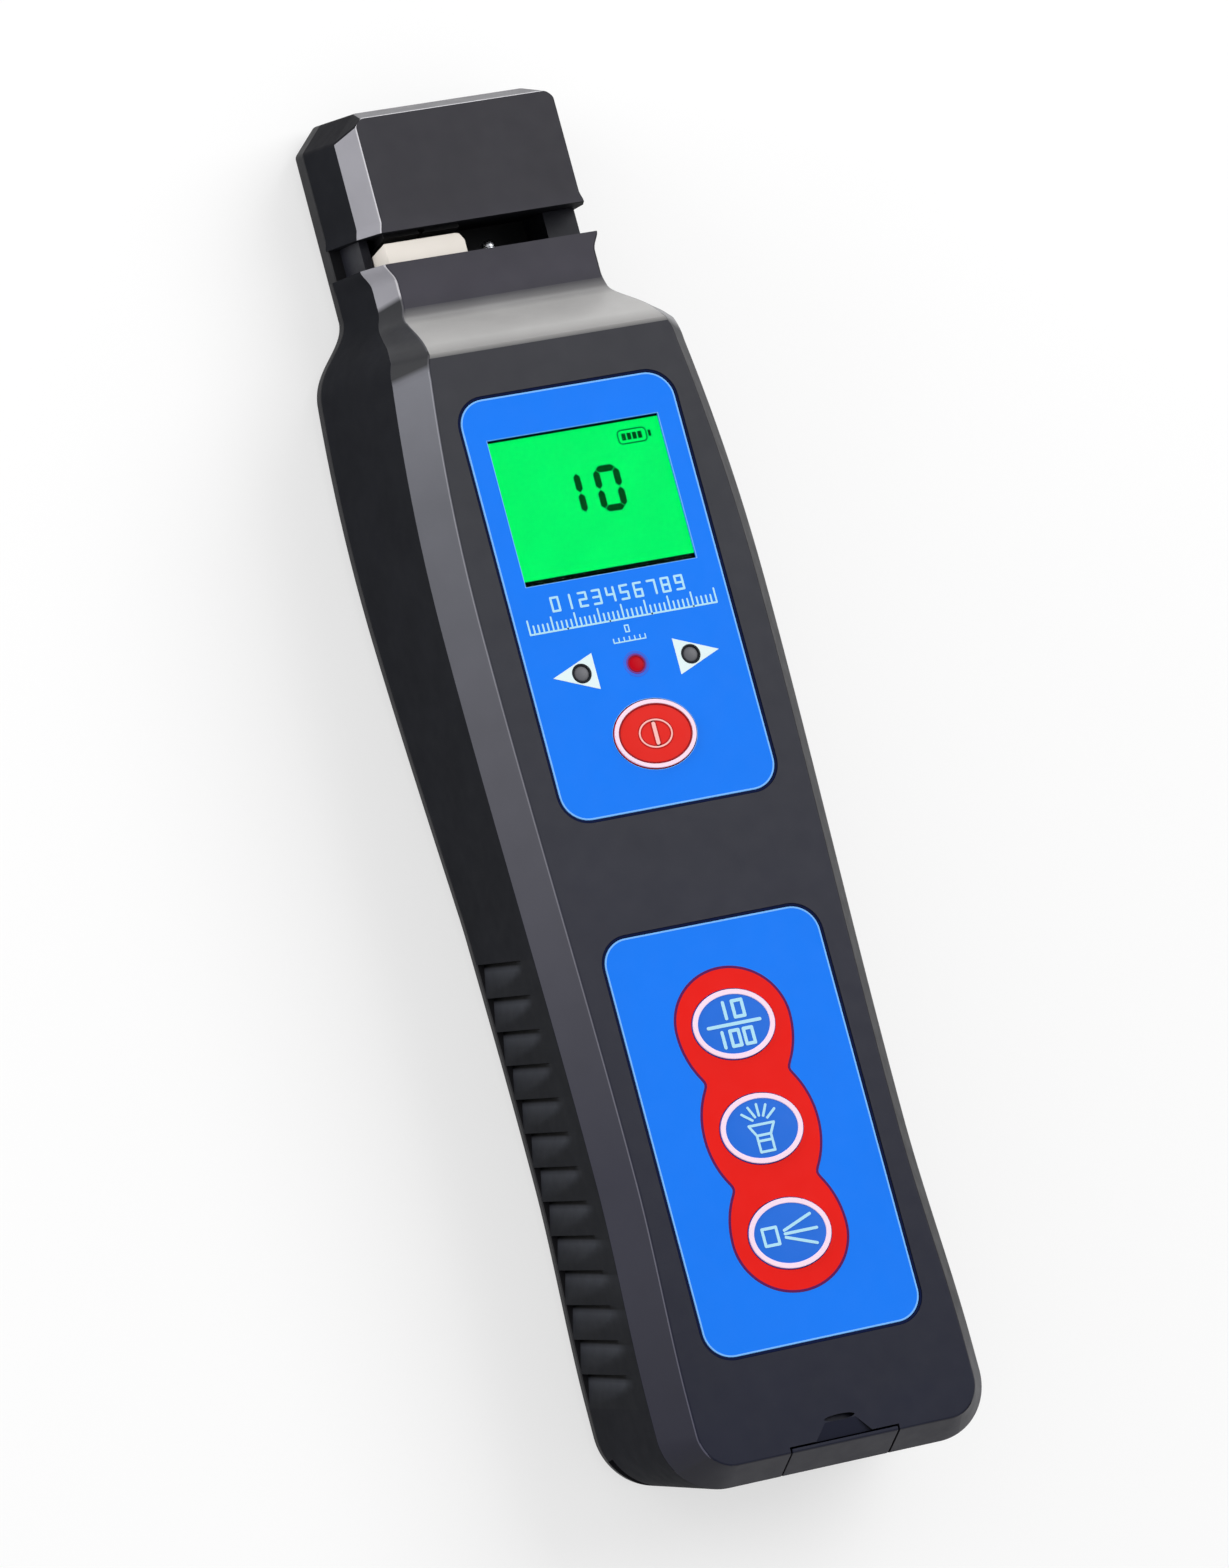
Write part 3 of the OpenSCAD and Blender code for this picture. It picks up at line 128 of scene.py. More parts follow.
FOOT_Y = -HALF_LENGTH - RAKE_SHARE * EDGE_DEPTH
ARC_Y = FOOT_Y + FOOT_RADIUS
WAIST_Y = FOOT_Y + 44.7
HEAD_TOP_Y = HALF_LENGTH - RAKE_SHARE * (NECK_DEPTH - BACK_EDGE)
RIB_LOW_Y = ARC_Y + RIB_MARGIN
RIB_TOP_Y = RIB_LOW_Y + RIB_COUNT * RIB_PITCH
SHOULDER_END_Y = SHOULDER_Y + SHOULDER_LENGTH
HEAD_HALF = NECK_WIDTH / 2
EDGE_Z = BODY_DEPTH - EDGE_DEPTH

# Softened edges and seams
EDGE_ROUND = 0.45
HEAD_EDGE_ROUND = 0.3
HEAD_ROUND = 1.1
HEAD_ROUND_STEPS = 6
BACK_ROUND = 0.7
SEAM_CHAMFER = 0.16
ROUND_STEPS = 5

# Overruns of cuts, and laps of pieces that are joined
OVERRUN = 1
LAP = 0.5
LEAST_LAP = 0.02
TOUCH = 0.05


def clamp(t):
    return max(0.0, min(1.0, t))


def smooth(t):
    t = clamp(t)
    return t * t * (3 - 2 * t)


def mix(a, b, t):
    return a + (b - a) * t


def spaced(start, end, step):
    count = max(1, ceil(abs(end - start) / step))
    return [mix(start, end, i / count) for i in range(count + 1)]


# Shape of the case along its length, as in the solids

def front_z(y):
    if y <= RAMP_Y:
        return BODY_DEPTH
    if y >= RAMP_Y + RAMP_LENGTH:
        return NECK_DEPTH
    return mix(BODY_DEPTH, NECK_DEPTH, smooth(mix(RAMP_START_SHARE, 1, (y - RAMP_Y) / RAMP_LENGTH)))


def neck_share(y):
    return clamp((y - RAMP_Y) / RAMP_LENGTH)


def bevel_depth(y):
    return mix(EDGE_DEPTH, NECK_EDGE_DEPTH, neck_share(y))


def bevel_z(y):
    return front_z(y) - bevel_depth(y)


def bevel_width(y):
    return mix(EDGE_WIDTH, NECK_EDGE_WIDTH, neck_share(y))


def side_x(y):
    if y >= SHOULDER_Y:
        return mix(SHOULDER_WIDTH, NECK_WIDTH, smooth((y - SHOULDER_Y) / SHOULDER_LENGTH)) / 2
    if y >= CHEST_Y:
        return mix(CHEST_WIDTH, SHOULDER_WIDTH, ((y - CHEST_Y) / (SHOULDER_Y - CHEST_Y)) ** 2) / 2
    if y >= WAIST_Y:
        return mix(WAIST_WIDTH, CHEST_WIDTH, smooth((y - WAIST_Y) / (CHEST_Y - WAIST_Y))) / 2
    return mix(FOOT_WIDTH, WAIST_WIDTH, smooth((y - RIB_LOW_Y) / (WAIST_Y - RIB_LOW_Y))) / 2


def arc_x(y):
    if y >= ARC_Y:
        return side_x(y)
    return side_x(ARC_Y) - FOOT_RADIUS + sqrt(max(0.0, FOOT_RADIUS ** 2 - (ARC_Y - y) ** 2))


def lip(y):
    return LIP_FLARE * smooth((y - SLOT_Y + LIP_LENGTH) / LIP_LENGTH) ** LIP_POWER


def lean(y):
    if y >= SHOULDER_END_Y:
        return NECK_LEAN
    if y >= SHOULDER_Y:
        return mix(SHOULDER_LEAN, NECK_LEAN, (y - SHOULDER_Y) / SHOULDER_LENGTH)
    return SHOULDER_LEAN * clamp((y - LEAN_START_Y) / (SHOULDER_Y - LEAN_START_Y))


def depth_share(y, z):
    return clamp((bevel_z(y) - z) / (bevel_z(y) - BACK_EDGE))


def slot_rake(z):
    return SLOT_RAKE * max(0.0, NECK_DEPTH - z)


def foot_rake(z):
    return RAKE_SHARE * (BODY_DEPTH - z)


def foot_face_y(z):
    return FOOT_Y + foot_rake(z)


def rake(y, z):
    """How far a point lies towards the head because the foot end and the slot slope."""
    fade = smooth((y - RAKE_FADE[0]) / (RAKE_FADE[1] - RAKE_FADE[0]))
    return mix(foot_rake(z), slot_rake(z), fade)


def rib_cut(y, z):
    """Depth of a rib's hollow: full under its sharp edge, and shorter towards the front."""
    below = RIB_TOP_Y - y
    if not 0 <= below < RIB_COUNT * RIB_PITCH:
        return 0.0
    top = mix(SEAM_Z, bevel_z(y), RIB_TOP_SHARE)
    share = clamp((top - z) / (top - SEAM_Z))
    if share <= 0:
        return 0.0
    reach = RIB_PITCH * mix(*RIB_REACH_SHARES, share ** RIB_REACH_POWER)
    return RIB_DEPTH * share ** RIB_DEPTH_POWER * max(0.0, 1 - (below % RIB_PITCH) / reach)


def case_point(station, z, inset=0.0, foot_inset=0.0, rib=0.0):
    y, side, foot = station
    deep = depth_share(y, z)
    x = arc_x(y) + lip(y) * (1 - deep) + lean(y) * deep - rib - inset * side
    return (x, y + foot_inset * foot + rake(y, z), z)


# Stations along the case. Each is (y, side normal, foot normal).

CORNER_STEPS = 22
RIB_START_GAP = 0.4
RIB_SHARES = (0.02, 0.15, 0.3, 0.45, 0.6, 0.75, 0.87)
SHELF_STEPS = (-0.12, 0.04)
CHEST_STEP = 3.2
CHEST_STOP_Y = 52
FINE_STEP = 0.6
FINE_START_Y = 53
LIP_GAP = 0.4
LIP_STEP = 0.35


def case_stations():
    corner = []
    for i in range(CORNER_STEPS + 1):
        angle = pi / 2 * (1 - i / CORNER_STEPS)
        corner.append((ARC_Y - FOOT_RADIUS * sin(angle), cos(angle), sin(angle)))
    ys = [RIB_LOW_Y - RIB_START_GAP]
    for i in reversed(range(RIB_COUNT)):
        shelf = RIB_TOP_Y - i * RIB_PITCH
        ys += [mix(shelf - RIB_PITCH, shelf, share) for share in RIB_SHARES]
        ys += [shelf + step for step in SHELF_STEPS]
    ys += spaced(RIB_TOP_Y + 1, CHEST_STOP_Y, CHEST_STEP)
    ys += spaced(FINE_START_Y, SLOT_Y - LIP_LENGTH, FINE_STEP)
    ys += spaced(SLOT_Y - LIP_LENGTH + LIP_GAP, SLOT_Y, LIP_STEP)
    return corner + [(y, 1.0, 0.0) for y in ys]


# Mesh helpers

MERGE_DISTANCE = 1e-7
OVAL_POINTS = 72
CIRCLE_POINTS = 48


def add_object(mesh):
    obj = bpy.data.objects.new("piece", mesh)
    bpy.context.scene.collection.objects.link(obj)
    return obj


def cleaned(obj, flat_angle=None):
    """Merges points that meet, joins flat areas where an angle is given, and turns the faces outward."""
    shape = bmesh.new()
    shape.from_mesh(obj.data)
    bmesh.ops.remove_doubles(shape, verts=shape.verts, dist=MERGE_DISTANCE)
    if flat_angle:
        bmesh.ops.dissolve_limit(shape, angle_limit=radians(flat_angle), verts=shape.verts,
                                 edges=shape.edges)
    bmesh.ops.recalc_face_normals(shape, faces=shape.faces)
    shape.to_mesh(obj.data)
    shape.free()
    return obj


def mesh_object(points, faces):
    mesh = bpy.data.meshes.new("piece")
    mesh.from_pydata([Vector(p) * MM for p in points], [], faces)
    return cleaned(add_object(mesh))


def wall(base, count):
    """Faces between a loop of points and the next one."""
    return [(base + i, base + (i + 1) % count, base + count + (i + 1) % count, base + count + i)
            for i in range(count)]


def skin(rings):
    """Closed solid over rings that each run up the right side; the left side mirrors them."""
    count = len(rings[0])
    whole = 2 * count
    points, faces = [], []
    for i, ring in enumerate(rings):
        points += list(ring) + [(-x, y, z) for x, y, z in reversed(ring)]
        if i:
            faces += wall((i - 1) * whole, whole)
    for base in (0, (len(rings) - 1) * whole):
        last = base + whole - 1
        faces += [(base + i, base + i + 1, last - i - 1, last - i) for i in range(count - 1)]
    return mesh_object(points, faces)


def islands(parts):
    """Separate prisms in one mesh. Parts are (outline, z, top)."""
    points, faces = [], []
    for outline, z, top in parts:
        base, count = len(points), len(outline)
        points += [(x, y, level) for level in (z, top) for x, y in outline]
        faces += [tuple(range(base, base + count)), tuple(range(base + count, base + 2 * count))]
        faces += wall(base, count)
    return mesh_object(points, faces)


def prism(outline, z, top):
    """Outline in X and Y, carried up from z to top."""
    return islands([(outline, z, top)])


def turned(obj, turn):
    """The object with its points moved by a function of x, y and z in millimetres."""
    for vertex in obj.data.vertices:
        vertex.co = Vector(turn(*(vertex.co / MM))) * MM
    return cleaned(obj)


def across(left, right, profile):
    """Profile in Y and Z, carried across from left to right."""
    return turned(prism(profile, left, right), lambda a, b, c: (c, a, b))


def rectangle(x, y, u, v):
    return [(x, y), (u, y), (u, v), (x, v)]


def block(lowest, highest):
    return prism(rectangle(*lowest[:2], *highest[:2]), lowest[2], highest[2])


def oval(x, y, half_x, half_y, count=OVAL_POINTS):
    angles = [2 * pi * i / count for i in range(count)]
    return [(x + half_x * cos(angle), y + half_y * sin(angle)) for angle in angles]


def circle(x, y, radius):
    return oval(x, y, radius, radius, CIRCLE_POINTS)


def round_rect(x, y, width, length, radius, steps=12):
    points = []
    for turn, (sx, sy) in enumerate(((1, -1), (1, 1), (-1, 1), (-1, -1))):
        cx, cy = x + sx * (width / 2 - radius), y + sy * (length / 2 - radius)
        for i in range(steps + 1):
            angle = radians(90 * (turn - 1) + 90 * i / steps)
            points.append((cx + radius * cos(angle), cy + radius * sin(angle)))
    return points


def grown(outline, offset, z):
    """A closed outline that runs anticlockwise, moved outward by an offset, at a height."""
    points = []
    for i, (x, y) in enumerate(outline):
        ax, ay = outline[i - 1]
        bx, by = outline[(i + 1) % len(outline)]
        length = hypot(bx - ax, by - ay)
        points.append((x + (by - ay) / length * offset, y + (ax - bx) / length * offset, z))
    return points


def stack(outline, profile):
    """Solid over an outline, from a profile of (offset, z) that starts below and ends above."""
    count = len(outline)
    points = [point for offset, z in profile for point in grown(outline, offset, z)]
    faces = [tuple(range(count)), tuple(range(len(points) - count, len(points)))]
    for i in range(len(profile) - 1):
        faces += wall(i * count, count)
    return mesh_object(points, faces)


BAND_ROUND = 0.06


def flat_band(outline, inner, outer, z, top):
    """Loop along an outline between two offsets, with slightly rounded upper edges."""
    soft = min(BAND_ROUND, (outer - inner) / 4, (top - z) / 2)
    profile = [(inner, z), (outer, z), (outer, top - soft), (outer - soft, top), (inner + soft, top),
               (inner, top - soft)]
    count = len(outline)
    points = [point for offset, z in profile for point in grown(outline, offset, z)]
    faces = []
    for i in range(len(profile)):
        faces += [tuple(corner % len(points) for corner in face) for face in wall(i * count, count)]
    return mesh_object(points, faces)


def capsule(start, end, width, steps=7):
    """Outline of a line with round ends."""
    (ax, ay), (bx, by) = start, end
    angle = atan2(by - ay, bx - ax)
    points = []
    for (x, y), turn in ((end, -pi / 2), (start, pi / 2)):
        points += [(x + width / 2 * cos(angle + turn + pi * i / steps),
                    y + width / 2 * sin(angle + turn + pi * i / steps)) for i in range(steps + 1)]
    return points


LINE_STEP = 0.0012
LINE_LEVELS = 9


def lines(paths, width, z, top):
    """Paths drawn as raised lines. Each line ends a little lower than the one before where they cross."""
    parts = []
    for path in paths:
        for start, end in zip(path, path[1:]):
            parts.append((capsule(start, end, width), z, top - LINE_STEP * (len(parts) % LINE_LEVELS)))
    return islands(parts)


def bar(x, y, z, top_y, radius):
    """Round bar along Y."""
    return turned(prism(circle(x, z, radius), y, top_y), lambda a, b, c: (a, c, b))


def cross_bar(half, y, z, radius):
    """Round bar along X."""
    return across(-half, half, circle(y, z, radius))


def settle(obj):
    """Applies the modifiers."""
    graph = bpy.context.evaluated_depsgraph_get()
    mesh = bpy.data.meshes.new_from_object(obj.evaluated_get(graph))
    obj.modifiers.clear()
    old = obj.data
    obj.data = mesh
    bpy.data.meshes.remove(old)
    return obj


def combine(obj, others, operation):
    for other in others:
        modifier = obj.modifiers.new("combine", "BOOLEAN")
        modifier.operation = operation
        modifier.solver = "MANIFOLD"
        modifier.object = other
        settle(obj)
        mesh = other.data
        bpy.data.objects.remove(other)
        bpy.data.meshes.remove(mesh)
    return obj


def carve(obj, *cutters):
    return combine(obj, cutters, "DIFFERENCE")


def join(obj, *others):
    return combine(obj, others, "UNION")


def soften(obj, width, segments=2, angle=30):
    modifier = obj.modifiers.new("soften", "BEVEL")
    modifier.width = width * MM
    modifier.segments = segments
    modifier.limit_method = "ANGLE"
    modifier.angle_limit = radians(angle)
    modifier.harden_normals = False
    return settle(obj)


FLAT_ANGLE = 0.5
SHARP_ANGLE = 32


def copied(node):
    """A copy of a CAD node's mesh, with flat areas as single faces."""
    return cleaned(add_object(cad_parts[node].data.copy()), FLAT_ANGLE)


def done(name, obj, material, slot=None, body="case", replaces=(), areas=()):
    """Gives a piece its name, material, shading and body; its slot is not used.

    Areas are (material, test) pairs. A face takes the first whose test holds for its normal and centre.
    """
    obj.name = name
    obj.data.materials.clear()
    for look in [material] + [look for look, _ in areas]:
        obj.data.materials.append(look)
    mesh = obj.data
    for face in mesh.polygons:
        centre = face.center / MM
        hits = [i + 1 for i, (_, test) in enumerate(areas) if test(face.normal, centre)]
        face.material_index = hits[0] if hits else 0
    mesh.shade_smooth()
    mesh.set_sharp_from_angle(angle=radians(SHARP_ANGLE))
    modifier = obj.modifiers.new("normals", "WEIGHTED_NORMAL")
    modifier.keep_sharp = True
    settle(obj)
    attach(obj, body)
    if replaces:
        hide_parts(*replaces)
    return obj


# Paths over the edges of the covers, as (inset, z)

PATH_LEAD = 2
LEG_SHARE = 0.45
SIDE_STEPS = 9
SIDE_GAP = 0.3


def rounded_path(corners, radius, steps=ROUND_STEPS):
    """A path in two numbers whose inner corners are rounded to a radius."""
    path = [corners[0]]
    for (ax, ay), (x, y), (bx, by) in zip(corners, corners[1:], corners[2:]):
        ax, ay, bx, by = ax - x, ay - y, bx - x, by - y
        la, lb = hypot(ax, ay), hypot(bx, by)
        angle = abs(atan2(ax * by - ay * bx, ax * bx + ay * by))
        reach = min(radius / tan(angle / 2), LEG_SHARE * la, LEG_SHARE * lb)
        for i in range(steps + 1):
            start, end = (1 - i / steps) ** 2 * reach / la, (i / steps) ** 2 * reach / lb
            path.append((x + start * ax + end * bx, y + start * ay + end * by))
    path.append(corners[-1])
    return path


def front_edge(foot, top, width, radius):
    return rounded_path([(0.0, foot - PATH_LEAD), (0.0, foot), (width, top), (width + PATH_LEAD, top)],
                        radius)[1:-1]


def back_edge(seam):
    path = rounded_path([(BACK_EDGE + PATH_LEAD, 0.0), (BACK_EDGE, 0.0), (0.0, BACK_EDGE),
                         (0.0, seam - SEAM_CHAMFER)], BACK_ROUND)[1:]
    return path + [(SEAM_CHAMFER, seam)]


def front_ring(station):
    y = station[0]
    edge = front_edge(bevel_z(y), front_z(y), bevel_width(y), EDGE_ROUND)
    start, end = SEAM_Z + SEAM_CHAMFER, edge[0][1] - SIDE_GAP
    side = [(0.0, mix(start, end, i / SIDE_STEPS)) for i in range(SIDE_STEPS + 1)]
    share = FOOT_EDGE_WIDTH / EDGE_WIDTH
    return [case_point(station, z, inset, inset * share, rib_cut(y, z))
            for inset, z in [(SEAM_CHAMFER, SEAM_Z)] + side + edge]


def rear_ring(station):
    return [case_point(station, z, inset, inset) for inset, z in back_edge(SEAM_Z)]


HEAD_SHARES = (0, 0.03, 0.06, 0.1, 0.14, 0.18, 0.25, 0.4, 0.6, 0.8, 1)
HEAD_SIDE_GAP = 0.5


def head_outline(side_inset, top_inset, cut, flare):
    """Half of the head's outline, from the slot up and round to the top, with rounded corners."""
    half, top = HEAD_HALF - side_inset, HEAD_TOP_Y - top_inset
    corners = [(half, SLOT_TOP_Y), (half, top - cut), (half - cut, top), (half - cut - PATH_LEAD, top)]
    path = rounded_path(corners, HEAD_ROUND, HEAD_ROUND_STEPS)[1:-1]
    side = []
    for share in HEAD_SHARES:
        y = mix(SLOT_TOP_Y, path[0][1] - HEAD_SIDE_GAP, share)
        side.append((half + flare * (1 - smooth((y - SLOT_TOP_Y) / (LIP_LENGTH / 2))), y))
    return side + path


def head_rings(path, side_inset, top_inset, inner_cut, flare):
    """Rings of the head over a path. The insets are those of the path's end, at the sides and the top."""
    outer = head_outline(0, 0, HEAD_CUT, flare)
    inner = head_outline(side_inset, top_inset, inner_cut, flare)
    rings = []
    for (ox, oy), (ix, iy) in zip(outer, inner):
        slope = mix(SLOT_RAKE, RAKE_SHARE, clamp((oy - SLOT_TOP_Y) / (HEAD_TOP_Y - SLOT_TOP_Y)))
        rings.append([(mix(ox, ix, inset / side_inset) + NECK_LEAN * depth_share(SLOT_TOP_Y, z),
                       mix(oy, iy, inset / side_inset) + slope * (NECK_DEPTH - z), z) for inset, z in path])
    return rings


def head_front_path():
    foot = NECK_DEPTH - NECK_EDGE_DEPTH
    side = [(SEAM_CHAMFER, HEAD_SEAM_Z), (0.0, HEAD_SEAM_Z + SEAM_CHAMFER), (0.0, foot - PATH_LEAD)]
    return side + front_edge(foot, NECK_DEPTH, NECK_EDGE_WIDTH, HEAD_EDGE_ROUND)


# Materials. Colours are written as display values from 0 to 255.

NOISE_LOW = 0.3
NOISE_HIGH = 0.7
NOISE_ROUGHNESS = 0.55
# Sizes of noise in millimetres with its detail, and changes of shade and gloss
CLOUD = (9.0, 2.0)
GLOSS = (2.6, 4.0)
GLOSS_CHANGE = (-0.04, 0.05)
GRAIN_DETAIL = 2.0
GRAIN_STRENGTH = 0.5
FILM_GRAIN = {"grain": 0.3, "depth": 0.003}
STREAK_SIZE = 0.3
STREAK_BUMP = (0.3, 0.006)
METAL_SHADES = (0.85, 1.08)
METAL_CHANGE = (-0.06, 0.08)
GLOW_CLOUD = (6.0, 2.0)
GLOW_SHADES = (0.97, 1.03)
CLEAR_SIZE = 4.0
CLEAR_ROUGHNESS = (0.03, 0.05)
TRACK_SCALE = 420.0
TRACK_SHADES = (0.9, 1.15, 1.9)
TRACK_GAP = 0.03


def linear(colour, factor=1.0):
    """A display colour as linear light, times a factor."""
    values = []
    for value in colour:
        share = value / 255
        share = share / 12.92 if share <= 0.04045 else ((share + 0.055) / 1.055) ** 2.4
        values.append(min(1.0, share * factor))
    return (*values, 1.0)


def grey(value):
    return (value, value, value, 1.0)


def connect(tree, node, inputs):
    """Sets the inputs of a node. A value that is a socket is linked."""
    for key, value in inputs.items():
        if isinstance(value, bpy.types.NodeSocket):
            tree.links.new(value, node.inputs[key])
        else:
            node.inputs[key].default_value = value


def add_node(tree, kind, inputs, **settings):
    """The outputs of a new node with the given inputs and settings."""
    node = tree.nodes.new(kind)
    for key, value in settings.items():
        setattr(node, key, value)
    connect(tree, node, inputs)
    return node.outputs


def new_material(name, roughness, specular):
    material = bpy.data.materials.new(name)
    material.use_nodes = True
    tree = material.node_tree
    shader = tree.nodes["Principled BSDF"]
    connect(tree, shader, {"Roughness": roughness, "Specular IOR Level": specular})
    return material, tree, shader


def coordinate(tree, kind):
    return add_node(tree, "ShaderNodeTexCoord", {})[kind]


def split(tree, vector):
    return add_node(tree, "ShaderNodeSeparateXYZ", {"Vector": vector})


def noise(tree, size, detail=3.0):
    """Noise whose features are about the given size in millimetres."""
    scale = 1 / (size * MM)
    place = add_node(tree, "ShaderNodeMapping", {
        "Vector": coordinate(tree, "Object"), "Scale": (scale, scale, scale)})
    return add_node(tree, "ShaderNodeTexNoise", {
        "Vector": place["Vector"], "Scale": 1.0, "Detail": detail, "Roughness": NOISE_ROUGHNESS})["Fac"]


def spread(tree, source, lowest, highest, start=NOISE_LOW, end=NOISE_HIGH):
    """A source that runs from start to end, as a value from lowest to highest."""
    return add_node(tree, "ShaderNodeMapRange", {
        "Value": source, "From Min": start, "From Max": end, "To Min": lowest, "To Max": highest})["Result"]


def ramp(tree, source, stops):
    """Colours over a source from 0 to 1. Stops are (place, colour)."""
    node = tree.nodes.new("ShaderNodeValToRGB")
    elements = node.color_ramp.elements
    for element, (place, colour) in zip(elements, (stops[0], stops[-1])):
        element.position = place
        element.color = colour
    for place, colour in stops[1:-1]:
        elements.new(place).color = colour
    connect(tree, node, {"Fac": source})
    return node.outputs["Color"]


def tinted(tree, source, dark, light):
    return ramp(tree, source, [(NOISE_LOW, dark), (NOISE_HIGH, light)])


def shaded(tree, source, stops):
    """Colours over a source. Stops are (value of the source, colour)."""
    start, end = stops[0][0], stops[-1][0]
    share = spread(tree, source, 0.0, 1.0, start, end)
    return ramp(tree, share, [((value - start) / (end - start), colour) for value, colour in stops])


def greys(tree, source, stops):
    return shaded(tree, source, [(value, grey(shade)) for value, shade in stops])


def along_case(tree, stops):
    """A colour that changes along Y. Stops are (y in millimetres, colour)."""
    station = split(tree, coordinate(tree, "Object"))["Y"]
    return shaded(tree, station, [(y * MM, linear(colour)) for y, colour in stops])


def roughen(tree, shader, source, strength, depth):
    bump = add_node(tree, "ShaderNodeBump", {"Height": source, "Strength": strength, "Distance": depth * MM})
    connect(tree, shader, {"Normal": bump["Normal"]})


def maths(tree, operation, *values):
    return add_node(tree, "ShaderNodeMath", dict(enumerate(values)), operation=operation)[0]


def mixed(tree, share, first, second, blend_type="MIX"):
    """Mix of two colours. Several sockets of this node share a name, so they go by place."""
    return add_node(tree, "ShaderNodeMix", {0: share, 6: first, 7: second},
                    data_type="RGBA", blend_type=blend_type)[2]


def multiplied(tree, first, second):
    return mixed(tree, 1.0, first, second, "MULTIPLY")


# Painted light and shade of the ribs: greys over the share of a pitch below a ledge, and over the slope of
# the surface along the case
RIB_FLAT = 0.26
RIB_GREYS = [(0.0, 0.0), (0.09, 0.02), (0.15, 0.6), (0.25, 0.85), (0.5, 0.5), (0.8, 0.3), (1.0, RIB_FLAT)]
RIB_HOLLOW = [(0.03, 0.0), (0.12, 1.0)]
RIB_LEDGE = [(-0.4, 0.05), (-0.15, 1.0)]


def rib_shade(tree):
    """Painted light and shade of the ribs: ledges painted dark as shade, and hollows painted lightest just
    under them.
    """
    place = split(tree, coordinate(tree, "Object"))
    slope = split(tree, coordinate(tree, "Normal"))["Y"]
    raked = maths(tree, "MULTIPLY_ADD", place["Z"], RAKE_SHARE, -RAKE_SHARE * BODY_DEPTH * MM)
    station = maths(tree, "ADD", place["Y"], raked)
    below = maths(tree, "MULTIPLY_ADD", station, -1 / (RIB_PITCH * MM), RIB_TOP_Y / RIB_PITCH)
    hollow = greys(tree, maths(tree, "FRACT", below), RIB_GREYS)
    ribs = mixed(tree, greys(tree, slope, RIB_HOLLOW), grey(RIB_FLAT), hollow)
    return multiplied(tree, ribs, greys(tree, slope, RIB_LEDGE))


def moulded(name, colour, roughness=0.4, grain=0.22, depth=0.012, change=0.1, specular=0.3, shade=None):
    """Moulded plastic: fine grain, uneven gloss and a slight change of shade.

    The colour may be a list of (y, colour) stops along the case; the shell's looks use these to paint light
    and shade.
    """
    material, tree, shader = new_material(name, roughness, specular)
    cloud = noise(tree, *CLOUD)
    if isinstance(colour, list):
        base = multiplied(tree, along_case(tree, colour), tinted(tree, cloud, grey(1 - change), grey(1.0)))
    else:
        base = tinted(tree, cloud, linear(colour, 1 - change), linear(colour, 1 + change))
    if shade:
        base = multiplied(tree, base, shade(tree))
    gloss = spread(tree, noise(tree, *GLOSS), *[roughness + step for step in GLOSS_CHANGE])
    connect(tree, shader, {"Base Color": base, "Roughness": gloss})
    roughen(tree, shader, noise(tree, grain, GRAIN_DETAIL), GRAIN_STRENGTH, depth)
    return material


def metal(name, colour, roughness=0.25):
    material, tree, shader = new_material(name, roughness, 0.5)
    streaks = noise(tree, STREAK_SIZE)
    connect(tree, shader, {
        "Base Color": tinted(tree, streaks, *[linear(colour, shade) for shade in METAL_SHADES]),
        "Roughness": spread(tree, streaks, *[roughness + step for step in METAL_CHANGE]), "Metallic": 1.0})
    roughen(tree, shader, streaks, *STREAK_BUMP)
    return material


def lit(name, colour, glow, strength=1.0, roughness=0.4, specular=0.1):
    """A surface that also gives light of its own."""
    material, tree, shader = new_material(name, roughness, specular)
    cloud = noise(tree, *GLOW_CLOUD)
    for socket, look in (("Base Color", colour), ("Emission Color", glow)):
        shades = [linear(look, shade) for shade in GLOW_SHADES]
        connect(tree, shader, {socket: tinted(tree, cloud, *shades)})
    connect(tree, shader, {"Emission Strength": strength})
    return material


def clear(name, colour, ior, specular):
    material, tree, shader = new_material(name, CLEAR_ROUGHNESS[0], specular)
    connect(tree, shader, {"Base Color": linear(colour), "Transmission Weight": 1.0, "IOR": ior,
                           "Roughness": spread(tree, noise(tree, CLEAR_SIZE), *CLEAR_ROUGHNESS)})
    return material


def circuit(name, colour):
    """Lacquered board with a faint pattern of tracks."""
    material, tree, shader = new_material(name, 0.3, 0.5)
    first, second, gap = [linear(colour, shade) for shade in TRACK_SHADES]
    tracks = add_node(tree, "ShaderNodeTexBrick", {
        "Vector": coordinate(tree, "Object"), "Scale": TRACK_SCALE, "Color1": first, "Color2": second,
        "Mortar": gap, "Mortar Size": TRACK_GAP})
    connect(tree, shader, {"Base Color": tracks["Color"]})
    return material


# Shell: colour stops along the case that are painted light and shade, darker towards the foot and lighter
# just above the ramp.
SHELL = moulded("shell_plastic", [
    (-100, (20, 23, 40)), (-30, (41, 42, 53)), (40, (50, 51, 57)), (66, (50, 50, 56)), (72, (60, 58, 67)),
    (80, (54, 53, 60)), (84, (48, 47, 53)), (100, (48, 47, 53))], 0.42, specular=0.13)
# Sides: a matte copy of the shell plastic whose darker colour is painted shade.
SHELL_SIDE = moulded("shell_side_plastic", (27, 28, 32), 0.65, specular=0.02)
# Ribbed sides: painted light and shade from rib_shade on a grey copy of the shell plastic.
SHELL_RIB = moulded("shell_rib_plastic", (58, 60, 66), 0.6, specular=0.02, shade=rib_shade)
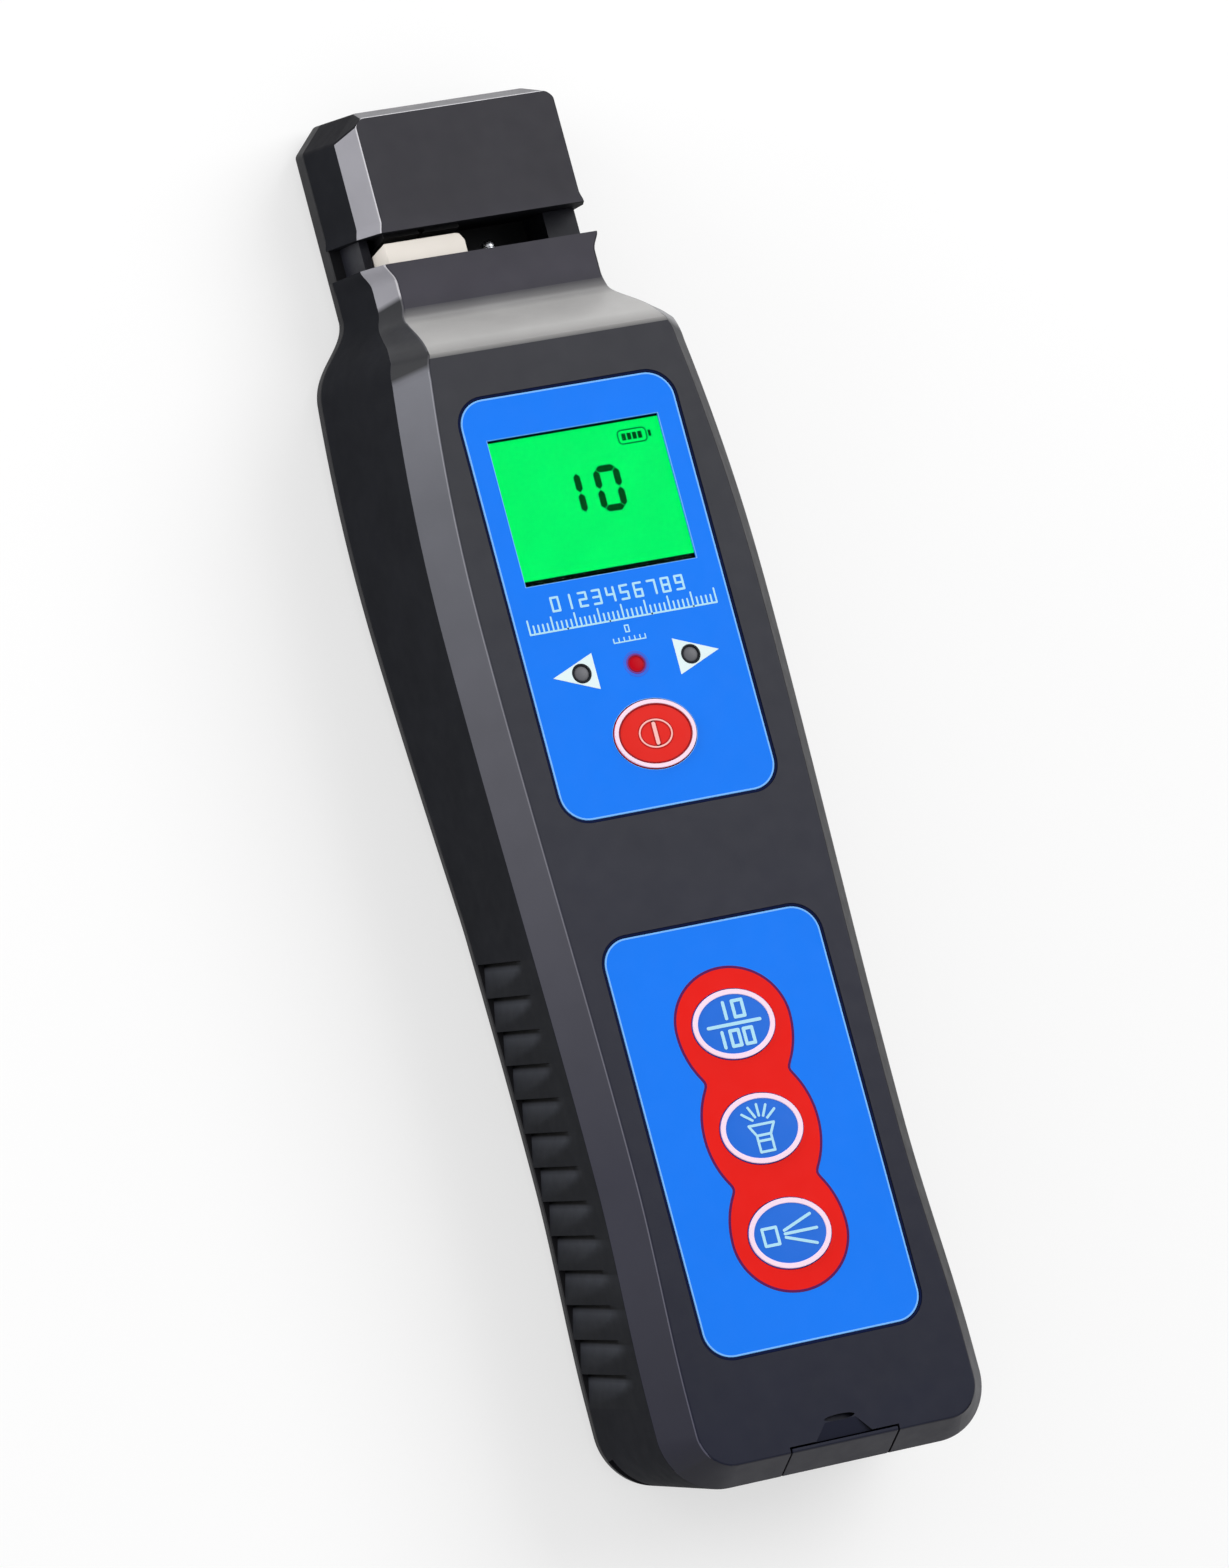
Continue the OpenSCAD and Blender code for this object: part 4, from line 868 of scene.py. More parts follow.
# Right-hand sloping edges: painted highlights, brightest by the ramp, and painted shade along the body.
SHELL_RIGHT = moulded("shell_right_plastic", [
    (-105, (70, 70, 74)), (-97, (62, 62, 66)), (-86, (26, 26, 30)), (40, (34, 34, 38)),
    (58.5, (40, 40, 44)), (60, (140, 140, 142)), (68, (140, 140, 142)), (73, (72, 72, 76)),
    (80, (76, 76, 80)), (84, (96, 96, 100)), (104, (96, 96, 100))], 0.5, specular=0.12)
# Right-facing sides and the head's cut corners: a darker copy of the shell plastic as painted shade.
SHELL_DARK = moulded("shell_dark_plastic", (22, 22, 26), 0.6, specular=0.03)
# The foot's sloping faces: a lighter copy of the shell plastic as painted light.
SHELL_FOOT = moulded("shell_foot_plastic", (42, 42, 49), 0.45, specular=0.12)
# Sloping edges along the case: painted highlights and shade, darkest at the foot, dark along the ramp and
# brightest on the neck.
SHELL_EDGE = moulded("shell_edge_plastic", [
    (-105, (16, 16, 26)), (-96, (27, 27, 44)), (-60, (40, 40, 55)), (0, (76, 76, 85)), (38, (90, 91, 99)),
    (57.4, (110, 111, 119)), (57.9, (24, 25, 30)), (71.6, (28, 29, 34)), (72.1, (152, 151, 158)),
    (98, (152, 151, 158)), (98.6, (88, 87, 92)), (104, (88, 87, 92))], 0.4, specular=0.26)
# Rounded strip at the top of the sloping edges: a painted highlight line, dimmer along the ramp and brightest
# on the neck.
SHELL_RIM = moulded("shell_rim_plastic", [
    (-100, (78, 78, 95)), (0, (112, 112, 121)), (57.4, (134, 134, 142)), (57.9, (58, 58, 64)),
    (71.6, (66, 66, 72)), (72.1, (196, 195, 200)), (104, (212, 211, 216))], 0.36, specular=0.3)
# Ramp up to the neck: a painted highlight across it.
SHELL_RAMP = moulded("shell_ramp_plastic", [
    (58.6, (50, 51, 57)), (59.4, (136, 135, 134)), (61.5, (168, 167, 166)), (67, (158, 157, 156)),
    (69.8, (62, 61, 66))], 0.4, specular=0.25)
SHELL_REAR = moulded("shell_rear_plastic", (27, 27, 30), 0.5, specular=0.2)
BLACK = moulded("black_plastic", (14, 14, 16), 0.45, specular=0.25)
CHEEK = moulded("cheek_plastic", (28, 29, 36), 0.5, specular=0.2)
BOOT = moulded("pad_plastic", (26, 26, 28), 0.55, grain=0.35, depth=0.03)
CREAM = moulded("cream_plastic", (236, 229, 220), 0.35, change=0.03)
FILM = moulded("film_blue", (12, 122, 246), 0.42, change=0.015, specular=0.08, **FILM_GRAIN)
# Pale blue painted highlight along the films' rounded top edges, on their sloping faces and on a line just
# inside them.
FILM_EDGE = moulded("film_edge", (122, 186, 255), change=0.02, specular=0.1)
# Dark navy painted shade in the gaps round the films: a band in each gap, and the walls of the pockets.
FILM_GAP_SHADE = moulded("film_gap_shade", (8, 20, 58), 0.6, specular=0.05)
FILM_POCKET_SHADE = moulded("film_pocket_shade", (10, 18, 44), 0.6, specular=0.05)
KEY_BLUE = moulded("key_blue_plastic", (16, 106, 218), change=0.02, specular=0.15)
KEY_RED = moulded("key_red_plastic", (226, 32, 22), change=0.03, specular=0.1)
INK_RED = moulded("ink_red", (232, 20, 10), 0.42, change=0.02, specular=0.08, **FILM_GRAIN)
INK_PURPLE = moulded("ink_purple", (92, 14, 84), 0.42, change=0.03, specular=0.08)
INK_PALE = moulded("ink_pale", (176, 226, 246), 0.42, change=0.02, specular=0.15, **FILM_GRAIN)
INK_WHITE = moulded("ink_white", (226, 244, 246), 0.42, change=0.02, specular=0.15, **FILM_GRAIN)
INK_PINK = moulded("ink_pink", (252, 224, 242), change=0.02, specular=0.1)
INK_ROSE = moulded("ink_rose", (252, 192, 186), change=0.02, specular=0.1)
INK_MAROON = moulded("ink_maroon", (186, 24, 22), change=0.03, specular=0.08)
INK_CRIMSON = moulded("ink_crimson", (150, 16, 24), change=0.03, specular=0.08)
INK_DARK = moulded("ink_dark_green", (0, 62, 16), 0.6, specular=0.0)
LCD = lit("display_light", (0, 14, 8), (0, 250, 106), specular=0.0)
# Painted shade of the window's recess: dark bars at the display's top and bottom edges.
LCD_RECESS_SHADE = moulded("display_recess_shade", (2, 16, 10), 0.7, specular=0.0)
LAMP_GREY = moulded("lamp_grey_plastic", (92, 93, 98), change=0.08)
LAMP_RING = moulded("lamp_ring_plastic", (22, 26, 32), 0.5, specular=0.1)
LAMP_RED = lit("lamp_red_light", (110, 0, 8), (168, 0, 20), 0.9, specular=0.06)
# Painted glow of the red lamp on the film: a darker red rim, a purple halo and a blue bloom.
LAMP_EDGE = moulded("lamp_edge_painted_glow", (150, 6, 44), specular=0.08)
LAMP_HALO = moulded("lamp_halo_painted_glow", (116, 62, 150), specular=0.08)
LAMP_BLOOM = moulded("lamp_bloom_painted_glow", (52, 106, 222), specular=0.08)
LAMP_CLEAR = lit("lamp_clear_plastic", (238, 238, 214), (238, 238, 214), 0.1, 0.2)
PANE = clear("clear_pane", (244, 252, 246), 1.04, 0.1)
LENS = clear("lens_clear", (236, 242, 250), 1.4, 0.5)
STEEL = metal("steel", (196, 198, 203))
SPRING = metal("spring_steel", (178, 181, 187), 0.3)
BRASS = metal("brass", (204, 168, 92), 0.3)
SCREW = metal("blackened_steel", (70, 70, 74), 0.35)
BOARD = circuit("board_green", (14, 92, 44))
RIBBON = moulded("ribbon_film", (206, 200, 172))
CELL = metal("cell_sleeve", (46, 118, 82), 0.35)


# Areas of the covers that take a look of their own, most of them lighter or darker copies of the shell
# plastic that paint light and shade. A test takes a face's normal and centre.
# Slopes are limits of the normal, and reaches are limits of the inset as a share of the edge's width.

SLOPE = 0.3
SIDE_SLOPE = 0.35
FOOT_SLOPES = (0.55, 0.12)
EDGE_SLOPES = (0.12, 0.9)
EDGE_REACH = 1.15
RIM_SLOPES = (0.4, 0.866)
RIM_REACH = 1.1
RIM_HEIGHT = 0.36
RAMP_REACH = 1.02
RAMP_START = RAMP_Y - 0.9
RAMP_END = RAMP_Y + RAMP_LENGTH + 1.6
RIB_MIN_X = 20
AREA_GAP = 0.05
RAKE_ROUNDS = 5


def ring_y(centre):
    """Station of a point on the case: its Y less the slope of the foot end and the slot."""
    y = centre.y
    for _ in range(RAKE_ROUNDS):
        y = centre.y - rake(y, centre.z)
    return y


def edge_place(centre):
    """Height of a point below the front, its height above the foot of the sloping edge, and its inset."""
    if centre.y > SLOT_TOP_Y:
        below = NECK_DEPTH - centre.z
        return below, NECK_EDGE_DEPTH - below, 0.0
    y = min(ring_y(centre), SLOT_Y)
    below = front_z(y) - centre.z
    return below, bevel_depth(y) - below, (arc_x(y) + lip(y) - abs(centre.x)) / bevel_width(y)


def on_ramp(normal, centre):
    if not RAMP_START < centre.y < RAMP_END or normal.z < SLOPE:
        return False
    return edge_place(centre)[2] > RAMP_REACH


def on_rim(normal, centre):
    below, _, inset = edge_place(centre)
    return below < RIM_HEIGHT and RIM_SLOPES[0] < normal.z < RIM_SLOPES[1] and inset < RIM_REACH


def on_edge(normal, centre):
    _, above, inset = edge_place(centre)
    return above > AREA_GAP and EDGE_SLOPES[0] < normal.z < EDGE_SLOPES[1] and inset < EDGE_REACH


def on_right(normal, centre):
    return normal.x > SLOPE and on_edge(normal, centre)


def on_dark(normal, centre):
    """Sides that face right, and the head's cut corners, which take painted shade."""
    if normal.x > SLOPE and normal.z > -SLOPE:
        return True
    return centre.y > SLOT_TOP_Y and abs(normal.x) > SLOPE and normal.y > SLOPE


def on_foot(normal, centre):
    return -normal.y > FOOT_SLOPES[0] and normal.z > FOOT_SLOPES[1]


def on_side(normal, centre):
    return abs(normal.z) < SIDE_SLOPE and centre.z > SEAM_Z - 2 * AREA_GAP


def on_rib(normal, centre):
    if abs(centre.x) < RIB_MIN_X or not SEAM_Z < centre.z < EDGE_Z:
        return False
    y = ring_y(centre)
    low_y = RIB_TOP_Y - RIB_COUNT * RIB_PITCH
    return low_y < y < RIB_TOP_Y + 2 * AREA_GAP and centre.z < bevel_z(y) - AREA_GAP


FOOT_AREAS = [(SHELL_FOOT, on_foot), (SHELL_SIDE, on_side)]
HEAD_AREAS = [(SHELL_RAMP, on_ramp), (SHELL_RIGHT, on_right), (SHELL_DARK, on_dark), (SHELL_FOOT, on_foot),
              (SHELL_RIM, on_rim), (SHELL_EDGE, on_edge), (SHELL_SIDE, on_side)]
FRONT_AREAS = [(SHELL_RIB, on_rib)] + HEAD_AREAS


# Cavities, keys, lamps, films and window

CAVITY_HALF = WAIST_WIDTH / 2 - SIDE_WALL - RIB_DEPTH
UPPER_CAVITY_HALF = CAVITY_HALF - 1.7
NECK_CAVITY_HALF = NECK_WIDTH / 2 - 2.3
NECK_WALL = 2.2
CAVITY_TOP_Y = RAMP_Y - 4.2
FOOT_CAVITY_Y = FOOT_Y + 11
PORT_CAVITY_Y = FOOT_Y + 8
FOOT_CAVITY_Z = 13.15
UPPER_CAVITY_Z = BODY_DEPTH - 8
CAVITY_CORNER = 7
FRONT_INNER_Z = BODY_DEPTH - FRONT_WALL
OUTSIDE_Y = FOOT_Y - 5
FILMS = ("upper_overlay", "lower_overlay")
FILM_GAP = 0.44
FILM_CORNER = 4
KEYS = ("power_key", "level_key", "torch_key", "beam_key")
KEY_HALF_X = 12.1 / 2
KEY_HALF_Y = 9.8 / 2
KEY_GAP = 0.2
LAMP_RADIUS = 1.3
LAMP_GAP = 0.1
LAMP_MARGIN = 1.7
LAMP_REACH = span("arrow_lamps").x / 2 - LAMP_MARGIN
LAMP_Y = middle("arrow_lamps").y
PANE_MARGIN = 2.15
WINDOW_HALF = 13
WINDOW_Y = middle("display_pane").y
WINDOW_HALF_LENGTH = 10.8
NECK_FLOOR_Y = SLOT_Y - NECK_WALL


def cavity(half, start, end, z, top):
    return prism(round_rect(0, (start + end) / 2, 2 * half, end - start, CAVITY_CORNER), z, top)


def neck_cavity(z, top):
    return block((-NECK_CAVITY_HALF, CAVITY_TOP_Y - CAVITY_CORNER, z), (NECK_CAVITY_HALF, NECK_FLOOR_Y, top))


def key_oval(node, gap):
    x, y, _ = middle(node)
    return oval(x, y, KEY_HALF_X + gap, KEY_HALF_Y + gap)


def film_outline(node, gap=0.0):
    return round_rect(0, middle(node).y, span(node).x + 2 * gap, span(node).y + 2 * gap, FILM_CORNER + gap)


def window_cut(margin, z, top):
    half, length = WINDOW_HALF + margin, WINDOW_HALF_LENGTH + margin
    return block((-half, WINDOW_Y - length, z), (half, WINDOW_Y + length, top))


def wall_cut(box, start, end):
    (x, z), (u, w) = box
    return block((x, start, z), (u, end, w))


FILM_BOXES = [(low(node), high(node)) for node in FILMS]


# Faces of the pocket walls round the films, which take painted shade.
def in_film_pocket(normal, centre):
    if not FILM_LOW_Z - TOUCH < centre.z < BODY_DEPTH - LEAST_LAP:
        return False
    reach = FILM_GAP + LEAST_LAP
    return any(lowest.y - reach < centre.y < highest.y + reach and abs(centre.x) < highest.x + reach
               for lowest, highest in FILM_BOXES)


# Flap over the port

FLAP_HALF = high("port_flap").x
FLAP_PIN_Z = middle("flap_pin").z
FLAP_PIN_Y = middle("flap_pin").y
FLAP_LIP_Y = FOOT_Y + FOOT_EDGE_WIDTH + 0.6
FLAP_GAP = 0.25
FLAP_THICKNESS = 1.5
FLAP_BARREL = 1.6
FLAP_ROUND = 0.14
FLAP_FLAT_ANGLE = 0.2
FLAP_BORE = 0.79
PIN_BORE = 0.8
EAR_HALF = 5
EAR_RISE = 2


def flap_profile(gap, foot):
    """Profile of the flap up to its face, with a gap round it, from the foot's points."""
    outer_z, inner_y = BODY_DEPTH + OVERRUN, FLAP_LIP_Y + gap
    return [(OUTSIDE_Y, foot), (OUTSIDE_Y, outer_z), (inner_y, outer_z),
            (inner_y, BODY_DEPTH - FLAP_THICKNESS - gap),
            (foot_face_y(EDGE_Z) + FLAP_THICKNESS + gap, EDGE_Z - FLAP_THICKNESS / 3)]


def flap_opening():
    foot = FLAP_PIN_Z - FLAP_BARREL - 2 * FLAP_GAP
    back = FLAP_PIN_Y + FLAP_BARREL + FLAP_GAP
    half = FLAP_HALF + FLAP_GAP
    profile = flap_profile(FLAP_GAP, foot) + [(back, FLAP_PIN_Z + FLAP_BARREL), (back, foot)]
    return across(-half, half, profile)


def make_flap(whole):
    """The flap is cut from the same skin as the cover, so that both lie flush."""
    inside = (foot_face_y(FLAP_PIN_Z) + FLAP_THICKNESS, FLAP_PIN_Z)
    shape = across(-FLAP_HALF, FLAP_HALF, flap_profile(0, FLAP_PIN_Z) + [inside])
    combine(whole, [shape], "INTERSECT")
    soften(cleaned(whole, FLAP_FLAT_ANGLE), FLAP_ROUND, angle=40)
    ear = [(foot_face_y(z) + TOUCH, z) for z in (FLAP_PIN_Z, FLAP_PIN_Z + EAR_RISE)]
    ear += [(FLAP_PIN_Y, FLAP_PIN_Z + FLAP_BARREL), (FLAP_PIN_Y, FLAP_PIN_Z)]
    join(whole, cross_bar(EAR_HALF, FLAP_PIN_Y, FLAP_PIN_Z, FLAP_BARREL), across(-EAR_HALF, EAR_HALF, ear))
    carve(whole, cross_bar(FLAP_HALF + OVERRUN, FLAP_PIN_Y, FLAP_PIN_Z, FLAP_BORE))
    done("port_flap_cover", whole, SHELL, "shell", "flap", ["port_flap"], FOOT_AREAS)


# Nail slit above the flap, with a hollow that widens towards it
SLIT_Y = FLAP_LIP_Y + 2.9
SLIT_HALF = 2.3
SLIT_HALF_LENGTH = 0.42
SLIT_DEPTH = 1.1
HOLLOW_HALF = 4.6
HOLLOW_DEPTHS = (0.75, 0.03)
HOLLOW_START_Y = FLAP_LIP_Y - 0.2
HOLLOW_END_Y = SLIT_Y - 0.4


def nail_cuts():
    over = BODY_DEPTH + OVERRUN
    slit = prism(oval(0, SLIT_Y, SLIT_HALF, SLIT_HALF_LENGTH), BODY_DEPTH - SLIT_DEPTH, over)
    points = []
    for near, far in ([BODY_DEPTH - depth for depth in HOLLOW_DEPTHS], (over, over)):
        points += [(-HOLLOW_HALF, HOLLOW_START_Y, near), (HOLLOW_HALF, HOLLOW_START_Y, near),
                   (SLIT_HALF, HOLLOW_END_Y, far), (-SLIT_HALF, HOLLOW_END_Y, far)]
    return [slit, mesh_object(points, [(0, 1, 2, 3), (4, 5, 6, 7)] + wall(0, 4))]


# Slot in the seam at the left corner of the foot, where the covers are levered apart
PRY_RADII = (FOOT_RADIUS + 1.5, FOOT_RADIUS - 1.7)
PRY_ANGLES = (205, 252)
PRY_STEPS = 16
PRY_LOW_Z = SEAM_Z - 0.35
PRY_TOP_Z = SEAM_Z + 2.1


def pry_cut():
    x, y = FOOT_RADIUS - side_x(ARC_Y), ARC_Y + foot_rake(SEAM_Z)
    angles = [radians(mix(*PRY_ANGLES, i / PRY_STEPS)) for i in range(PRY_STEPS + 1)]
    outline = [(x + radius * cos(angle), y + radius * sin(angle))
               for radius, arc in zip(PRY_RADII, (angles, reversed(angles))) for angle in arc]
    return prism(outline, PRY_LOW_Z, PRY_TOP_Z)


# Openings in the foot and in the neck's end wall
PORT_Z = middle("ferrule_sleeve").z
SLEEVE_RADIUS = 2.45
TORCH_X = middle("torch_lens").x
TORCH_Z = middle("torch_lens").z
TORCH_RADIUS = 2.65
ROD_Z = middle("guide_rods").z
SLOT_REACH = 5
STEM_OPENING = ((-8.9, 9.3), (-3.9, 15.7))
ADAPTER_POCKET = ((-15.6, 8.2), (-2.6, 18.8))
ROD_PLACES = (2.8, -10.4)
ROD_HOLE_RADIUS = 1.02


def make_front_cover():
    cover = skin([front_ring(station) for station in case_stations()])
    whole = add_object(cover.data.copy())
    wall_y, slot_end = NECK_FLOOR_Y - OVERRUN, SLOT_Y + SLOT_REACH
    inner, outer, foot = FRONT_INNER_Z - OVERRUN, BODY_DEPTH + OVERRUN, SEAM_Z - OVERRUN
    holes = [key_oval(node, KEY_GAP) for node in KEYS]
    holes += [circle(x, LAMP_Y, LAMP_RADIUS + LAMP_GAP) for x in (-LAMP_REACH, 0, LAMP_REACH)]
    carve(cover,
          cavity(CAVITY_HALF, FOOT_CAVITY_Y, CAVITY_TOP_Y, foot, FOOT_CAVITY_Z + LAP),
          cavity(CAVITY_HALF, PORT_CAVITY_Y, CAVITY_TOP_Y, FOOT_CAVITY_Z, UPPER_CAVITY_Z),
          cavity(UPPER_CAVITY_HALF, PORT_CAVITY_Y, CAVITY_TOP_Y, UPPER_CAVITY_Z - LAP, FRONT_INNER_Z),
          neck_cavity(foot, NECK_DEPTH - FRONT_WALL),
          *[prism(film_outline(node, FILM_GAP), FILM_LOW_Z, outer) for node in FILMS],
          window_cut(PANE_MARGIN, low("display_pane").z - TOUCH, FILM_LOW_Z + LAP),
          window_cut(0, inner, FILM_LOW_Z + LAP),
          *[prism(hole, inner, outer) for hole in holes],
          flap_opening(), *nail_cuts(), pry_cut(),
          bar(0, FOOT_Y - OVERRUN, PORT_Z, PORT_CAVITY_Y + OVERRUN, SLEEVE_RADIUS),
          bar(TORCH_X, OUTSIDE_Y, TORCH_Z, PORT_CAVITY_Y + OVERRUN, TORCH_RADIUS),
          bar(TORCH_X, PORT_CAVITY_Y, TORCH_Z, PORT_CAVITY_Y + 2 * OVERRUN, TORCH_RADIUS + LAP),
          cross_bar(high("flap_pin").x + TOUCH, FLAP_PIN_Y, FLAP_PIN_Z, PIN_BORE),
          wall_cut(STEM_OPENING, wall_y, slot_end),
          wall_cut(ADAPTER_POCKET, SLOT_Y, slot_end),
          *[bar(x, wall_y, ROD_Z, slot_end, ROD_HOLE_RADIUS) for x in ROD_PLACES],
          block((-NECK_CAVITY_HALF, wall_y, foot), (NECK_CAVITY_HALF, slot_end, HEAD_SEAM_Z + TOUCH)))
    areas = [(FILM_POCKET_SHADE, in_film_pocket)] + FRONT_AREAS
    done("front_shell", cover, SHELL, "shell", replaces=["front_cover"], areas=areas)
    return whole


# Rear cover, with the slot's cheeks, the spine behind it and the battery tray

TRIGGER_HALF = 7
TRIGGER_GAP = 0.3
TRIGGER_TRAVEL = 4.8
TRIGGER_LENGTH = 11
TRIGGER_LOW_Y = low("thumb_trigger").y + 1.7
TRIGGER_TOP_Y = TRIGGER_LOW_Y + TRIGGER_LENGTH + TRIGGER_TRAVEL
DOOR_LIP = 14.2
DOOR_TOP_Y = 83.6 - HALF_LENGTH
DOOR_TOP_Z = 2.25
SCREW_HEAD_RADIUS = 2.4
SCREW_RADIUS = 1.25
SCREW_SEAT_Z = 1.9
SCREW_ROWS = [(17, RAMP_Y - 7.7), (17.4, FOOT_Y + 21.5), (11, HEAD_TOP_Y - 5.4)]
SCREW_PLACES = [(side * x, y) for side in (-1, 1) for x, y in SCREW_ROWS]
REAR_CAVITY_Y = FOOT_Y + 13
CHEEK_Z = 13
CHEEK_GAP = 0.2
CHANNEL_LEFT = -15.4
CHANNEL_RIGHT = 11.8
SPINE_Y = SLOT_Y - 4.2
RIBBON_CHANNEL = ((9.4, 3.0), (12.8, 3.7))
HEAD_CAVITY_LOW_Y = SLOT_TOP_Y + NECK_WALL + 3.2
HEAD_CAVITY_HALF = HEAD_HALF - 3
HEAD_CAVITY_TOP_Y = HEAD_TOP_Y - HEAD_CUT - 5
HEAD_SCREW_WALL = 9.15
TRAY_HALF = 12.39
TRAY_WALL = 1.2
TRAY_FLOOR_Z = 3.35
TRAY_EAR = 16.8
TRAY_EAR_Z = 6


def cheeks():
    """Block across the neck that fills the slot below its floor, between its sloping walls."""
    start, end = SLOT_Y + TOUCH, SLOT_TOP_Y - TOUCH
    half, z = HEAD_HALF - LAP, HEAD_SEAM_Z - LAP
    return across(-half, half, [(start + slot_rake(z), z), (end + slot_rake(z), z),
                                (end + slot_rake(CHEEK_Z), CHEEK_Z), (start + slot_rake(CHEEK_Z), CHEEK_Z)])


def battery_tray():
    lowest, highest = low("battery_contacts"), high("battery_contacts")
    start, end, top = lowest.y, highest.y, highest.z
    half = TRAY_HALF + TRAY_WALL
    tray = block((-half, start - TRAY_WALL, TRAY_FLOOR_Z), (half, end + TRAY_WALL, top))
    for y in (start - TRAY_WALL, end):
        join(tray, block((-TRAY_EAR, y, TRAY_FLOOR_Z), (TRAY_EAR, y + TRAY_WALL, TRAY_EAR_Z)))
        for x in (-TRAY_EAR, TRAY_EAR - TRAY_WALL):
            join(tray, block((x, y, BACK_WALL - LAP), (x + TRAY_WALL, y + TRAY_WALL, TRAY_EAR_Z)))
    return carve(tray, block((-TRAY_HALF, start, -OVERRUN), (TRAY_HALF, end, top + OVERRUN)))


def on_cheek(normal, centre):
    return centre.z > HEAD_SEAM_Z + CHEEK_GAP and centre.y > SLOT_Y


def make_rear_cover():
    cover = skin([rear_ring(station) for station in case_stations()])
    # The cut corners step in as far as the sides
    cut = HEAD_CUT - 2 * BACK_EDGE * (1 - 1 / sqrt(2))
    rings = head_rings(back_edge(HEAD_SEAM_Z), BACK_EDGE, BACK_EDGE, cut, 0)
    lead = [(x, y - (SLOT_TOP_Y - SLOT_Y) - LEAST_LAP, z) for x, y, z in rings[0]]
    join(cover, skin([lead] + rings))
    over = SEAM_Z + OVERRUN
    carve(cover,
          cavity(CAVITY_HALF - SIDE_WALL, REAR_CAVITY_Y, CAVITY_TOP_Y, BACK_WALL, over),
          neck_cavity(BACK_WALL, over),
          block((-HEAD_CAVITY_HALF, HEAD_CAVITY_LOW_Y, BACK_WALL),
                (HEAD_CAVITY_HALF, HEAD_TOP_Y - HEAD_SCREW_WALL, HEAD_SEAM_Z + OVERRUN)))
    spine_half = NECK_CAVITY_HALF - TOUCH
    join(cover, cheeks(),
         block((-spine_half, SPINE_Y, BACK_WALL - LAP), (spine_half, HEAD_CAVITY_LOW_Y, HEAD_SEAM_Z)),
         battery_tray())
    carve(cover, pry_cut(),
          block((CHANNEL_LEFT, SPINE_Y - OVERRUN, HEAD_SEAM_Z),
                (CHANNEL_RIGHT, SLOT_TOP_Y + SLOT_REACH, CHEEK_Z + OVERRUN)),
          wall_cut(RIBBON_CHANNEL, SPINE_Y - OVERRUN, HEAD_CAVITY_LOW_Y + OVERRUN),
          *[prism(circle(x, y, SCREW_HEAD_RADIUS), -OVERRUN, SCREW_SEAT_Z) for x, y in SCREW_PLACES],
          *[prism(circle(x, y, SCREW_RADIUS), 0, HEAD_SEAM_Z + OVERRUN) for x, y in SCREW_PLACES],
          block((-TRIGGER_HALF, TRIGGER_LOW_Y - TRIGGER_GAP, -OVERRUN),
                (TRIGGER_HALF, TRIGGER_TOP_Y + TRIGGER_GAP, BACK_WALL + OVERRUN)),
          block((-DOOR_LIP, OUTSIDE_Y, -OVERRUN), (DOOR_LIP, DOOR_TOP_Y, DOOR_TOP_Z)))
    done("rear_shell", cover, SHELL_REAR, "shell_dark", replaces=["rear_cover"], areas=[(CHEEK, on_cheek)])


def make_head():
    rings = head_rings(head_front_path(), NECK_EDGE_WIDTH, TOP_EDGE_WIDTH, HEAD_FRONT_CUT, LIP_FLARE / 3)
    x, _, z = low("jaw_anvil")
    u, _, w = high("jaw_anvil")
    head = carve(skin(rings),
                 block((-HEAD_CAVITY_HALF, HEAD_CAVITY_LOW_Y, HEAD_SEAM_Z - OVERRUN),
                       (HEAD_CAVITY_HALF, HEAD_CAVITY_TOP_Y, NECK_DEPTH - FRONT_WALL)),
                 block((x - TOUCH, SLOT_TOP_Y - OVERRUN, z - TOUCH),
                       (u + TOUCH, HEAD_CAVITY_LOW_Y + LAP, w + TOUCH)))
    done("head_shell", head, SHELL, "shell", replaces=["head_cover"], areas=HEAD_AREAS)


# Films, keys and prints

INK = 0.025
INK_DEPTH = 0.04
INK_TOP_Z = FILM_TOP_Z + INK
INK_LOW_Z = FILM_TOP_Z - INK_DEPTH
PRINT_CUT_Z = (FILM_TOP_Z - OVERRUN, FILM_TOP_Z + OVERRUN)
FILM_ROUND = 0.15
FILM_EDGE_SLOPES = (0.15, 0.97)
FILM_EDGE_DEPTH = 0.2
FILM_LINE = (-0.32, -0.02, FILM_TOP_Z - 0.1, FILM_TOP_Z + 0.01)
FILM_GAP_SHADE_BAND = (0.02, FILM_GAP - 0.01, FILM_LOW_Z, BODY_DEPTH - 0.1)
KEY_TOP_Z = high("power_key").z
KEY_EASE = 0.1
KEY_FLANGE = 0.6
KEY_FLANGE_Z = (28.65, 29.5)
KEY_SIDE = 0.3
KEY_DOME = [(0, KEY_SIDE), (0.05, 0.2), (0.15, 0.13), (0.9, 0.11), (1.6, 0.08), (2.4, 0.06), (3.4, 0.05)]
RING_INSET = 0.06
RING_WIDTH = 0.74
POWER_RING_WIDTH = 0.6
LOBE_HALF_X = 8.5
LOBE_END = 8.1
LOBE_INNER = 10.6
LOBE_POWER = 7
LOBE_STEPS = 180
LOBE_LINE = (-0.16, 0.24, INK_LOW_Z, INK_TOP_Z + 0.012)
SCALE_HALF = 14.2
SCALE_TICKS = 40
SCALE_GROUP = 5
SCALE_Y = WINDOW_Y - 17.65
SCALE_TICK = 1.2
SCALE_LONG_TICK = 2.05
SCALE_LINE = 0.25
MARK_HALF = 2.4
MARK_PITCH = 0.8
MARK_Y = LAMP_Y + 3.4
MARK_TICK = 0.6
MARK_LINE = 0.18
# Middle of a number in X and Y, and the width, height and pitch of its digits
SCALE_NUMBERS = (0, WINDOW_Y - 13.9, 1.05, 1.95, 2.1)
SCALE_NUMBERS_LINE = 0.32
MARK_NUMBER = (0, LAMP_Y + 5.2, 0.55, 0.95, 1)


